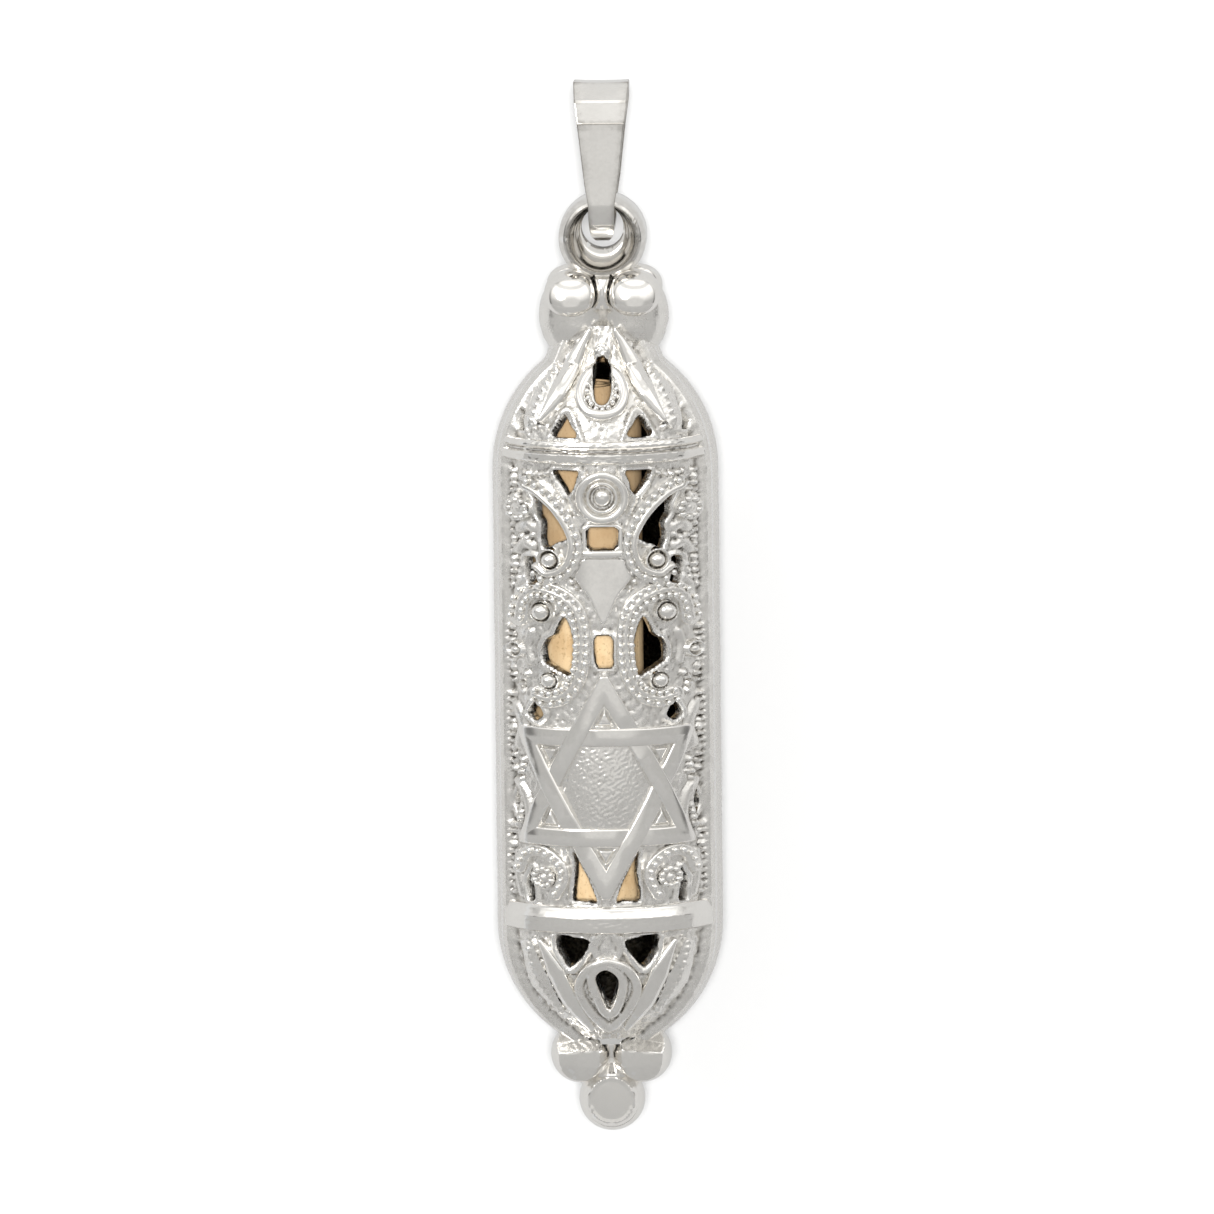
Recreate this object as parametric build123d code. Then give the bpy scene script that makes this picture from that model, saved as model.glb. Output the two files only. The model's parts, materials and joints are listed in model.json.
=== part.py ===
from build123d import *
import math
import os

# Hanging filigree case for a small rolled parchment: a smooth closed back shell, an openwork
# front shell with soldered ornaments, balls at both ends and a strip bail on a countersunk ring.
# Millimetres.  +Z up, the front faces -Y, +X is the viewer's right when facing the front.
# The origin is the centre of the round crown inside the bail, where the chain sits.

os.makedirs("parts", exist_ok=True)

# ---- case envelope ----
case_radius = 6.0
barrel_top = -18.6
barrel_foot = -42.9
dome_radius = 7.35
neck_radius = 3.18
cone_tip_radius = 2.3
cone_top = -10.7
cone_foot = -49.4
parting_angle = 71.5
front_drop = -0.35
back_wall = 0.9
cavity_top = -12.2
cavity_tip_radius = 1.6
rail_width = 0.72

# ---- bail and hanging ring ----
crown_bore_radius = 1.6
crown_outer = 1.98
loop_centre = -4.3
loop_inner = 1.85
loop_outer = 2.2
ring_centre = -6.26
ring_radius = 2.33
ring_ridge_radius = 1.96
ring_half_depth = 1.75
ring_land = 1.2
bowl_radius = 1.83
throat_radius = 1.1
throat_centre = -5.76

# ---- balls and posts ----
lobe_offset = 1.45
lobe_radius = 2.05
lobe_height = 2.5
lobe_centre = -10.45
bead_offset = 1.75
bead_centre = -9.15
bead_radius = 1.2
bead_depth = 1.0
bead_reach = 1.95
post_radius = 1.25
foot_lobe_offset = 1.63
foot_lobe_radius = 1.6
foot_lobe_centre = -50.0
foot_post_radius = 0.95
foot_post_end = -51.6
ball_radius = 1.76
ball_centre = -52.5
ball_facet = 1.27

# ---- relief heights above or below the back shell's skin ----
ground = front_drop
strip_height = 0.0
plate_height = -0.08
plaque_height = -0.22
ring_height = 0.04
star_middle = -0.12
star_height = 0.1
band_height = 0.1
bead_wire_radius = 0.19
bead_pitch = 0.5

# ---- ornaments, as centres in the front view (X, Z) ----
rosette_centre = (0, -19.55)
side_rosette_centre = (4.75, -27.9)
star_centre = (0, -35.05)
star_radius = 5.75
star_strip = 0.95

# ---- parchment ----
scroll_radius = 3.1
scroll_bore = 0.9
scroll_core_radius = 1.85
scroll_x = -1.0
scroll_y = 0.5
scroll_top = -14.1
scroll_shoulder = -15.6
scroll_foot = -42.4

dome_centre = case_radius - dome_radius


# ---------------------------------------------------------------- geometry helpers
def dome_reach(grow, radius):
    """How far past the barrel's end the grown dome has the given radius."""
    return math.sqrt((dome_radius + grow) ** 2 - (radius - dome_centre) ** 2)


def dome_middle(grow):
    """Radius and rise of a point half-way along the grown dome's arc."""
    neck = neck_radius + grow
    turn = math.atan2(dome_reach(grow, neck), neck - dome_centre) / 2
    reach = dome_radius + grow
    return dome_centre + reach * math.cos(turn), reach * math.sin(turn)


def turned(*edges):
    """Solid of revolution about the case's axis from an outline drawn in (radius, Z)."""
    return revolve(Plane.XZ * make_face(list(edges)), Axis.Z)


def case_section(grow):
    """Half section of the case, in (radius, Z), grown or shrunk by the same amount all round."""
    barrel = case_radius + grow
    neck = neck_radius + grow
    tip = cone_tip_radius + grow
    rise = dome_reach(grow, neck)
    middle_radius, middle_rise = dome_middle(grow)
    return [
        Line((0, cone_top), (tip, cone_top)),
        Line((tip, cone_top), (neck, barrel_top + rise)),
        ThreePointArc(
            (neck, barrel_top + rise), (middle_radius, barrel_top + middle_rise), (barrel, barrel_top)
        ),
        Line((barrel, barrel_top), (barrel, barrel_foot)),
        ThreePointArc(
            (barrel, barrel_foot), (middle_radius, barrel_foot - middle_rise), (neck, barrel_foot - rise)
        ),
        Line((neck, barrel_foot - rise), (tip, cone_foot)),
        Line((tip, cone_foot), (0, cone_foot)),
        Line((0, cone_foot), (0, cone_top)),
    ]


def case_body(grow):
    """The whole case as one plain solid, grown or shrunk by the same amount all round."""
    return turned(*case_section(grow))


def case_cavity():
    """The closed space inside the case that holds the parchment."""
    grow = -back_wall
    barrel = case_radius + grow
    neck = neck_radius + grow
    rise = dome_reach(grow, neck)
    middle_radius, middle_rise = dome_middle(grow)
    return turned(
        Line((0, cavity_top), (cavity_tip_radius, cavity_top)),
        Line((cavity_tip_radius, cavity_top), (neck, barrel_top + rise)),
        ThreePointArc(
            (neck, barrel_top + rise), (middle_radius, barrel_top + middle_rise), (barrel, barrel_top)
        ),
        Line((barrel, barrel_top), (barrel, barrel_foot)),
        ThreePointArc(
            (barrel, barrel_foot), (middle_radius, barrel_foot - middle_rise), (neck, barrel_foot - rise)
        ),
        Line((neck, barrel_foot - rise), (0, barrel_foot - rise)),
        Line((0, barrel_foot - rise), (0, cavity_top)),
    )


def skin_radius(z, grow):
    """Radius of the grown case at a height."""
    neck = neck_radius + grow
    rise = dome_reach(grow, neck)
    if z > barrel_top + rise:
        share = (z - barrel_top - rise) / (cone_top - barrel_top - rise)
        return neck + (cone_tip_radius - neck_radius) * share
    if z > barrel_top:
        return dome_centre + math.sqrt((dome_radius + grow) ** 2 - (z - barrel_top) ** 2)
    if z < barrel_foot:
        return dome_centre + math.sqrt((dome_radius + grow) ** 2 - (z - barrel_foot) ** 2)
    return case_radius + grow


def skin_point(x, z, grow):
    """The point of the grown case's front that shows at (x, z) in the front view."""
    return Vector(x, -math.sqrt(skin_radius(z, grow) ** 2 - x**2), z)


skins = {height: case_body(height) for height in
         (ground, strip_height, plate_height, plaque_height, ring_height, star_middle,
          star_height, band_height)}

# Ornaments keep inside this front-view field; the plain rails run round outside it.
right_field = make_face(case_section(-rail_width))
field = right_field + mirror(right_field, about=Plane.YZ)


def outline(*runs):
    """Closed face in the front view: two points make a straight run, more make a smooth one."""
    edges = [Line(*run) if len(run) == 2 else Spline(*run) for run in runs]
    if (edges[-1] @ 1 - edges[0] @ 0).length > 1e-6:
        edges.append(Line(edges[-1] @ 1, edges[0] @ 0))
    return make_face(edges)


def polygon(*points):
    """Straight-sided face in the front view."""
    return make_face(Polyline(*points, close=True))


def ribbon(points, widths, stations=9):
    """Face of a strip along a smooth line, its width running through the given values."""
    line = Spline(*points)
    left, right = [], []
    for index in range(stations):
        share = index / (stations - 1)
        place = share * (len(widths) - 1)
        low = min(int(place), len(widths) - 2)
        width = widths[low] + (widths[low + 1] - widths[low]) * (place - low)
        side = (line % share).rotate(Axis.Z, 90) * (width / 2)
        left.append(line @ share + side)
        right.append(line @ share - side)
    right.reverse()
    return outline(left, (left[-1], right[0]), right)


def disc(centre, radius):
    return Pos(*centre) * Circle(radius)


def raised(face, height, floor=ground):
    """The part of the case's front between two skins that lies behind a front-view face."""
    prism = extrude(Plane.XZ * (face & field), case_radius + 1)
    return prism & (skins[height] - skins[floor])


def dome_button(centre, radius, height, floor):
    """A low round boss standing on a skin; its height is less than its radius."""
    return Pos(*skin_point(*centre, floor + height - radius)) * Sphere(radius) - skins[floor]


half_bead = Sphere(bead_wire_radius, arc_size1=0, align=(Align.CENTER, Align.CENTER, Align.MIN))


def bead_row(points, floor, shift, side):
    """Half-round beads along a smooth line on the barrel's right (side 1) or left (side -1)."""
    line = Spline(*points)
    count = round(line.length / bead_pitch)
    beads = Part()
    for index in range(count + 1):
        share = index / count
        place = line @ share + (line % share).rotate(Axis.Z, 90) * shift
        seat = skin_point(side * place.X, place.Y, floor)
        outward = Vector(seat.X, seat.Y, 0)
        beads += Plane(seat, z_dir=outward) * half_bead
    return beads


def write(name, part):
    part.label = name
    export_step(part, f"parts/{name}.step")


def write_pair(name, right_part):
    """The right-hand piece and its mirror image on the left."""
    write(f"{name}_right", right_part)
    write(f"{name}_left", mirror(right_part, about=Plane.YZ))


def both_sides(face):
    return face + mirror(face, about=Plane.YZ)


# ---------------------------------------------------------------- bail
def bail_strip():
    """Flat strip bent into a closed loop: faceted crown above, round curl below, tapered legs."""
    facet_out = 1.72
    facet_up = 1.08
    crown_flat = 0.65
    leg_out = 2.03
    outer = [
        ThreePointArc((-loop_outer, loop_centre), (0, loop_centre - loop_outer), (loop_outer, loop_centre)),
        Polyline(
            (loop_outer, loop_centre),
            (leg_out, -0.1),
            (facet_out, facet_up),
            (crown_flat, crown_outer),
            (-crown_flat, crown_outer),
            (-facet_out, facet_up),
            (-leg_out, -0.1),
            (-loop_outer, loop_centre),
        ),
    ]
    inner = [
        ThreePointArc((-loop_inner, loop_centre), (0, loop_centre - loop_inner), (loop_inner, loop_centre)),
        Line((loop_inner, loop_centre), (crown_bore_radius, 0)),
        ThreePointArc((crown_bore_radius, 0), (0, crown_bore_radius), (-crown_bore_radius, 0)),
        Line((-crown_bore_radius, 0), (-loop_inner, loop_centre)),
    ]
    band = extrude(Plane.YZ * (make_face(outer) - make_face(inner)), 2, both=True)
    half_widths = [(1.5, 2.1), (1.4, 0.9), (1.24, -0.2), (0.95, -3.2), (0.74, -4.4), (0.69, -6.7)]
    taper = polygon(*half_widths, *[(-x, z) for x, z in reversed(half_widths)])
    return band & extrude(Plane.XZ * taper, 3, both=True)


def hanging_ring():
    """Thick ring with a bowl sunk in each face, so that the hole's throat is a thin edge."""
    profile = make_face(
        Polyline(
            (0, -ring_half_depth),
            (ring_ridge_radius, -ring_half_depth),
            (ring_radius, -ring_land),
            (ring_radius, ring_land),
            (ring_ridge_radius, ring_half_depth),
            (0, ring_half_depth),
            close=True,
        )
    )
    blank = Pos(0, 0, ring_centre) * revolve(profile, Axis.Y)
    for side in (-1, 1):
        mouth = Plane((0, side * ring_half_depth, ring_centre), z_dir=(0, side, 0)) * Circle(bowl_radius)
        throat = Plane((0, side * 0.15, throat_centre), z_dir=(0, side, 0)) * Circle(throat_radius)
        blank -= loft([throat, mouth])
    throat_hole = Pos(0, 0, throat_centre) * Rot(90, 0, 0) * Cylinder(throat_radius, 0.4)
    return blank - throat_hole


# ---------------------------------------------------------------- balls
def upright_ball(x, z, radius, half_height):
    """Ball stretched along Z."""
    half = make_face(
        [
            EllipticalCenterArc((0, 0), radius, half_height, start_angle=-90, arc_size=180),
            Line((0, half_height), (0, -half_height)),
        ]
    )
    return Pos(x, 0, z) * revolve(Plane.XZ * half, Axis.Z)


def facing_bead(side, facing):
    """Low polished bead on the left or right (side) that faces the front or the back (facing)."""
    half = make_face(
        [
            EllipticalCenterArc((0, 0), bead_radius, bead_depth, start_angle=-90, arc_size=180),
            Line((0, bead_depth), (0, -bead_depth)),
        ]
    )
    return Pos(side * bead_offset, facing * bead_reach, bead_centre) * revolve(half, Axis.Y)


ring_blank = Pos(0, 0, ring_centre) * Rot(90, 0, 0) * Cylinder(ring_radius, 2 * ring_half_depth)
case_solid = skins[strip_height]
crown_post_middle = (cone_top + ring_centre) / 2
crown_post = Pos(0, 0, crown_post_middle) * Cylinder(post_radius, ring_centre - cone_top) - ring_blank
foot_post_middle = (cone_foot + foot_post_end) / 2
foot_post = Pos(0, 0, foot_post_middle) * Cylinder(foot_post_radius, cone_foot - foot_post_end)
foot_ball = Pos(0, 0, ball_centre) * Sphere(ball_radius)
foot_ball = foot_ball - foot_post - Pos(0, -ball_facet - 1, ball_centre) * Box(5, 2, 5)

for side, side_name in ((-1, "left"), (1, "right")):
    half_space = Pos(5 * side, 0, 0) * Box(10, 40, 140)
    whole_lobe = upright_ball(side * lobe_offset, lobe_centre, lobe_radius, lobe_height)
    write(f"crown_lobe_{side_name}", (whole_lobe & half_space) - ring_blank - case_solid - crown_post)
    for facing, facing_name in ((-1, "front"), (1, "back")):
        bead = facing_bead(side, facing) & half_space
        bead = bead - whole_lobe - ring_blank - case_solid - crown_post
        write(f"crown_bead_{facing_name}_{side_name}", bead)
    foot_lobe = upright_ball(side * foot_lobe_offset, foot_lobe_centre, foot_lobe_radius, foot_lobe_radius)
    foot_lobe = foot_lobe - case_solid - foot_post
    write(f"foot_lobe_{side_name}", foot_lobe)
    foot_ball -= foot_lobe

write("bail_strip", bail_strip())
write("hanging_ring", hanging_ring())
write("crown_post", crown_post)
write("foot_post", foot_post)
write("foot_ball", foot_ball)

# ---------------------------------------------------------------- windows of the front shell
eye_window = outline(
    [(3.95, -19.35), (3.0, -20.1), (2.3, -20.95), (1.9, -21.7)],
    [(1.9, -21.7), (2.5, -21.95), (3.15, -22.2)],
    [(3.15, -22.2), (3.45, -21.3), (3.5, -20.3), (3.95, -19.35)],
)
band_window = outline(
    [(1.2, -18.35), (2.4, -18.3)],
    [(2.4, -18.3), (2.15, -18.9), (1.65, -19.3)],
    [(1.65, -19.3), (1.5, -18.8), (1.2, -18.35)],
)
side_slot = polygon((3.9, -22.85), (4.3, -23.05), (3.95, -24.3), (3.5, -24.0))
middle_eye = outline(
    [(2.2, -25.9), (1.72, -26.8), (1.7, -28.2), (1.88, -29.2)],
    [(1.88, -29.2), (2.6, -28.8), (3.4, -28.4)],
    [(3.4, -28.4), (3.45, -27.6), (2.8, -26.95), (2.2, -25.9)],
)
low_corner = polygon((3.9, -30.6), (4.25, -31.25), (3.8, -31.6), (3.45, -31.2))
side_slit = polygon((5.0, -35.6), (5.22, -36.1), (5.0, -36.7), (4.9, -36.1))
foot_window = outline(
    [(1.75, -38.75), (1.75, -41.15)],
    [(1.75, -41.15), (0.66, -41.2)],
    [(0.66, -41.2), (1.0, -40.1), (1.75, -38.75)],
)
foot_slot = outline([(4.15, -39.5), (4.5, -40.3), (4.35, -41.3)], [(4.35, -41.3), (3.95, -41.3)],
                    [(3.95, -41.3), (4.1, -40.4), (4.15, -39.5)])
dome_corner_top = polygon((2.1, -15.2), (2.75, -16.2), (1.4, -16.25))
dome_slot_top = polygon((4.35, -15.0), (4.7, -16.1), (4.3, -16.1))
dome_corner_foot = outline(
    [(0.98, -43.35), (2.75, -43.1)],
    [(2.75, -43.1), (2.6, -44.0), (2.05, -44.7)],
    [(2.05, -44.7), (1.4, -44.2), (0.98, -43.35)],
)
crown_drop_window = outline(
    [(0, -12.35), (0.4, -12.6), (0.56, -13.8), (0, -14.5)],
    [(0, -14.5), (-0.56, -13.8), (-0.4, -12.6), (0, -12.35)],
)
foot_drop_window = outline(
    [(0, -44.95), (0.55, -45.4), (0.5, -46.2), (0, -47.2)],
    [(0, -47.2), (-0.5, -46.2), (-0.55, -45.4), (0, -44.95)],
)
square_window = Pos(0, -21.72) * Rectangle(1.64, 1.1)
middle_window = Pos(0, -27.82) * Rectangle(1.02, 1.62)

windows = square_window + middle_window + crown_drop_window + foot_drop_window
for opening in (eye_window, band_window, side_slot, middle_eye, low_corner, side_slit, foot_window,
                foot_slot, dome_corner_top, dome_slot_top, dome_corner_foot):
    windows += both_sides(opening)

# ---------------------------------------------------------------- shells
cavity = case_cavity()
# The two shells part on radial planes, so the plain strip keeps its share of the domes too.
sector_side = 60 * math.sin(math.radians(parting_angle))
sector_front = -60 * math.cos(math.radians(parting_angle))
sector_face = Polyline((0, 0), (sector_side, sector_front), (-sector_side, sector_front), close=True)
front_sector = extrude(Plane.XY.offset(cone_foot - 5) * make_face(sector_face), cone_top - cone_foot + 10)
back_shell = skins[strip_height] - cavity - front_sector
front_base = (skins[ground] - cavity) & front_sector
rails = ((skins[strip_height] - skins[ground]) & front_sector) - extrude(Plane.XZ * field, case_radius + 1)
front_shell = front_base + rails - extrude(Plane.XZ * windows, case_radius + 1)
write("back_shell", back_shell)
write("front_shell", front_shell)

# ---------------------------------------------------------------- star
def star_band(turn):
    """One triangle of the star as a closed strip in the front view."""
    points = RegularPolygon(star_radius, 3, rotation=turn)
    inner = RegularPolygon(star_radius - 2 * star_strip, 3, rotation=turn)
    return Pos(*star_centre) * (points - inner)


up_band = star_band(90)
down_band = star_band(-90)
crossings = up_band & down_band
crossing_faces = sorted(
    crossings.faces(),
    key=lambda face: math.atan2(face.center().Y - star_centre[1], face.center().X - star_centre[0]),
)
# The six crossings alternate: at every second one the upright triangle passes over.
over_up = Sketch() + crossing_faces[0::2]
over_down = Sketch() + crossing_faces[1::2]
star_up = (
    raised(up_band - crossings, star_height)
    + raised(over_down, star_middle)
    + raised(over_up, star_height, star_middle)
)
star_down = (
    raised(down_band - crossings, star_height)
    + raised(over_up, star_middle)
    + raised(over_down, star_height, star_middle)
)
write("star_triangle_up", star_up)
write("star_triangle_down", star_down)
star_face = RegularPolygon(star_radius, 3, rotation=90) + RegularPolygon(star_radius, 3, rotation=-90)
star_face = Pos(*star_centre) * star_face
write("star_plaque", raised(star_face - up_band - down_band, plaque_height))

# ---------------------------------------------------------------- centre ornaments
rosette_ring = disc(rosette_centre, 1.43) - disc(rosette_centre, 0.98)
rosette_button = disc(rosette_centre, 0.95)
square_frame = Pos(0, -21.85) * Rectangle(2.2, 1.8) - disc(rosette_centre, 1.43)
shield = outline(
    [(-1.15, -22.8), (1.15, -22.8)],
    [(1.15, -22.8), (1.3, -23.3), (1.6, -23.75)],
    [(1.6, -23.75), (0.6, -25.0), (0, -26.4)],
    [(0, -26.4), (-0.6, -25.0), (-1.6, -23.75)],
    [(-1.6, -23.75), (-1.3, -23.3), (-1.15, -22.8)],
)
write("top_rosette_ring", raised(rosette_ring, ring_height))
write(
    "top_rosette_button",
    raised(rosette_button, plaque_height) + dome_button(rosette_centre, 0.55, 0.42, plaque_height),
)
write("window_frame", raised(square_frame - square_window, strip_height))
write("shield_plate", raised(shield, plate_height))

# ---------------------------------------------------------------- bands
def band_face(top, foot):
    return Pos(0, (top + foot) / 2) * Rectangle(2 * case_radius, top - foot)


upper_band = raised(band_face(-16.55, -17.2), band_height) + raised(band_face(-17.2, -17.8), strip_height)
lower_band = raised(band_face(-41.45, -42.0), strip_height) + raised(band_face(-42.0, -42.9), band_height)
write("upper_band", upper_band)
write("lower_band", lower_band)

# ---------------------------------------------------------------- scrolls, bosses and bead wires
centre_pieces = star_face + shield + square_frame + rosette_ring + rosette_button + windows
upper_curl = [(4.1, -19.0), (3.4, -19.3), (2.4, -20.2), (1.7, -21.3), (1.5, -22.3), (1.95, -23.4),
              (2.95, -23.85), (3.6, -23.5)]
middle_curl = [(4.7, -26.2), (4.45, -25.1), (3.75, -24.6), (2.9, -24.65), (2.1, -25.0), (1.5, -25.6),
               (1.2, -26.5), (1.17, -27.6), (1.3, -28.7), (1.65, -29.6), (2.2, -30.15), (3.0, -30.4),
               (3.8, -30.25)]
foot_curl = [(4.8, -39.6), (4.45, -38.85), (3.85, -38.55), (3.1, -38.75), (2.45, -39.4), (2.4, -40.1),
             (2.8, -40.85)]
curls = {
    "upper_scroll": (upper_curl, 0.75, (-0.18,)),
    "middle_scroll": (middle_curl, 0.92, (-0.22, 0.26)),
    "lower_scroll": (foot_curl, 0.62, (0.0,)),
}
bosses = {
    "upper_boss": ((2.85, -22.95), 0.7),
    "outer_boss": ((4.55, -20.35), 0.62),
    "middle_boss_high": ((3.35, -25.75), 0.64),
    "middle_boss_low": ((2.95, -29.4), 0.55),
    "lower_boss": ((3.35, -39.95), 0.6),
    "side_rosette": (side_rosette_centre, 0.5),
}
taken = centre_pieces
for name, (centre, radius) in bosses.items():
    seat = disc(centre, radius) - taken
    taken += disc(centre, radius)
    button = dome_button(centre, radius * 0.72, radius * 0.6, plaque_height)
    write_pair(name, raised(seat, plaque_height) + button)
for name, (line, width, rows) in curls.items():
    strip = raised(ribbon(line, [width, width], 2 * len(line)) - taken, strip_height)
    taken += ribbon(line, [width, width], 2 * len(line))
    write_pair(name, strip)
    for side, side_name in ((-1, "left"), (1, "right")):
        beads = Part()
        for shift in rows:
            beads += bead_row(line, strip_height, shift, side)
        write(f"{name}_beads_{side_name}", beads)

# ---------------------------------------------------------------- dome ornaments
crown_drop = outline(
    [(0, -11.7), (0.85, -12.5), (1.5, -14.1), (1.0, -15.15), (0, -15.5)],
    [(0, -15.5), (-1.0, -15.15), (-1.5, -14.1), (-0.85, -12.5), (0, -11.7)],
)
foot_drop = outline(
    [(0, -44.2), (1.2, -44.7), (1.85, -46.1), (1.1, -47.7), (0, -48.6)],
    [(0, -48.6), (-1.1, -47.7), (-1.85, -46.1), (-1.2, -44.7), (0, -44.2)],
)
write("crown_drop_bezel", raised(crown_drop - crown_drop_window, strip_height))
write("foot_drop_bezel", raised(foot_drop - foot_drop_window, strip_height))
dome_taken = crown_drop + foot_drop + windows
leaves = {
    "crown_leaf": ([(0.75, -11.2), (1.75, -12.5), (2.4, -13.7), (3.45, -15.5)], [0.3, 0.75, 0.7, 0.2]),
    "foot_leaf": ([(3.55, -43.4), (2.7, -45.2), (1.9, -46.8), (0.9, -48.3)], [0.25, 0.8, 0.75, 0.3]),
    "crown_side_drop": ([(2.5, -12.9), (3.3, -14.0), (4.0, -15.7)], [0.3, 1.0, 0.6]),
    "foot_side_drop": ([(4.35, -43.7), (3.7, -45.6), (2.5, -47.4)], [0.6, 1.1, 0.3]),
}
for name, (line, widths) in leaves.items():
    face = ribbon(line, widths)
    write_pair(name, raised(face - dome_taken, strip_height))
    dome_taken += face

# ---------------------------------------------------------------- parchment
scroll_length = scroll_shoulder - scroll_foot
core_length = scroll_top - scroll_shoulder
scroll = Pos(0, 0, scroll_foot + scroll_length / 2) * Cylinder(scroll_radius, scroll_length)
scroll += Pos(0, 0, scroll_shoulder + core_length / 2) * Cylinder(scroll_core_radius, core_length)
scroll -= Pos(0, 0, (scroll_top + scroll_foot) / 2) * Cylinder(scroll_bore, 60)
write("parchment_scroll", Pos(scroll_x, scroll_y, 0) * scroll)
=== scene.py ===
"""Looks of a hanging silver parchment case: two cast shells, soldered ornaments, balls and a strip bail."""
import json
import math

import bpy
import numpy as np
from mathutils import Matrix, Vector


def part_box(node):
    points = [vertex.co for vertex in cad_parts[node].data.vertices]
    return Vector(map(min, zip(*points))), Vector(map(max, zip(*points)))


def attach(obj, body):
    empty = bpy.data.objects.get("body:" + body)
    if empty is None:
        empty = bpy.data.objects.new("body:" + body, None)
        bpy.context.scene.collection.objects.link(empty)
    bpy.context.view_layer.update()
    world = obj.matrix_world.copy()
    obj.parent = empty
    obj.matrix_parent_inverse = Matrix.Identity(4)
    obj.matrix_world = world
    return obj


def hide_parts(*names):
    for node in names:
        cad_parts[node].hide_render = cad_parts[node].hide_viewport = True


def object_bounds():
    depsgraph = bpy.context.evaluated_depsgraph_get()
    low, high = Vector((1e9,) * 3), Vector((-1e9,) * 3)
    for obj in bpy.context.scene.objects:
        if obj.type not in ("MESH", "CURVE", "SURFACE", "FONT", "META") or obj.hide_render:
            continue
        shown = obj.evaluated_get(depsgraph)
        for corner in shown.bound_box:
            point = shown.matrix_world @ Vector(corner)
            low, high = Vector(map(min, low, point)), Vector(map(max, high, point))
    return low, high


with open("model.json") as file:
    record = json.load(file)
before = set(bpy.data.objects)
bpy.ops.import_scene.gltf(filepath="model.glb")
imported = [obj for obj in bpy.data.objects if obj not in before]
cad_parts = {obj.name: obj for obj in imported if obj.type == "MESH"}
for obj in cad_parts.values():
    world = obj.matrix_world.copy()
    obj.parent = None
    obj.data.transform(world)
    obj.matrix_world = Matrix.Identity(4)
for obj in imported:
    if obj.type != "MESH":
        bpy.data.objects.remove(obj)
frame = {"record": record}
cad_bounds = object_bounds()

MM = 0.001
body_of = {node: body for body, nodes in frame["record"]["behaviour"]["bodies"].items() for node in nodes}


def node_box(name):
    """Lowest and highest corner of a CAD node, in millimetres."""
    low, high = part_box(name)
    return np.array(low) / MM, np.array(high) / MM


# ------------------------------------------------------------------ the case's plain shape, in mm
shell_low, shell_high = node_box("back_shell")
case_radius = shell_high[0]
cone_top = shell_high[2]
cone_foot = shell_low[2]
barrel_top = cone_top - 7.9
barrel_foot = cone_foot + 6.5
dome_radius = 7.35
neck_radius = 3.18
tip_radius = 2.3
rail_width = 0.72
parting_angle = math.radians(71.5)
ground = -0.42
inner_wall = -0.9
sunk = -0.5
middle_lift = -0.1


def case_profile():
    """Tables down the case's side: radius, height, and the outward normal's two parts."""
    centre = case_radius - dome_radius
    rise = math.sqrt(dome_radius**2 - (neck_radius - centre) ** 2)
    turns = np.linspace(math.atan2(rise, neck_radius - centre), 0, 90)
    radius = np.concatenate([[tip_radius], centre + dome_radius * np.cos(turns),
                             centre + dome_radius * np.cos(turns[::-1]), [tip_radius]])
    height = np.concatenate([[cone_top], barrel_top + dome_radius * np.sin(turns),
                             barrel_foot - dome_radius * np.sin(turns[::-1]), [cone_foot]])
    along = np.concatenate([[0], np.cumsum(np.hypot(np.diff(radius), np.diff(height)))])
    even = np.linspace(0, along[-1], 1600)
    radius = np.interp(even, along, radius)
    height = np.interp(even, along, height)
    out = -np.gradient(height, even)
    up = np.gradient(radius, even)
    soft = np.ones(21) / 21
    out = np.convolve(np.pad(out, 10, mode="edge"), soft, mode="valid")
    up = np.convolve(np.pad(up, 10, mode="edge"), soft, mode="valid")
    size = np.hypot(out, up)
    return even, radius, height, out / size, up / size


profile_along, profile_radius, profile_height, profile_out, profile_up = case_profile()


def skin_at(z):
    """Radius of the case at a height, and its outward normal as (out, up)."""
    return [np.interp(-z, -profile_height, table) for table in (profile_radius, profile_out, profile_up)]


def on_case(x, z, lift):
    """Points that show at (x, z) in the front view, lifted off the case's plain skin."""
    radius, out, up = skin_at(z)
    turn = np.arcsin(np.clip(x / (radius + middle_lift * out), -0.9999, 0.9999))
    reach = radius + out * lift
    return np.stack([reach * np.sin(turn), -reach * np.cos(turn), z + up * lift], axis=-1)


# ------------------------------------------------------------------ lines, outlines and profiles
def grain(x, z, size, seed=0.0):
    """Smooth irregular pattern between about -1 and 1, the same on every run."""
    x = x / size + seed * 3.7
    z = z / size + seed * 1.9
    total = np.sin(1.7 * x + 1.3 * np.sin(1.1 * z + seed)) * np.cos(1.9 * z + 1.5 * np.sin(0.9 * x))
    total += 0.6 * np.sin(3.1 * x - 2.3 * z + 2.0 * np.sin(1.3 * x + 0.7 * z))
    total += 0.5 * np.sin(4.3 * z + 2.9 * x + 1.7 * np.cos(2.1 * z - 1.4 * x))
    return total / 1.6


def smooth_line(points, steps=8, closed=False):
    """Smooth line through the points."""
    points = np.array(points, float)
    if closed:
        padded = np.concatenate([points[-1:], points, points[:2]])
    else:
        padded = np.concatenate([[2 * points[0] - points[1]], points, [2 * points[-1] - points[-2]]])
    share = np.linspace(0, 1, steps, endpoint=False)[:, None]
    runs = []
    for a, b, c, d in zip(padded, padded[1:], padded[2:], padded[3:]):
        runs.append(0.5 * (2 * b + (c - a) * share + (2 * a - 5 * b + 4 * c - d) * share**2
                           + (3 * b - a - 3 * c + d) * share**3))
    if not closed:
        runs.append(points[-1:])
    return np.concatenate(runs)


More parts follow.
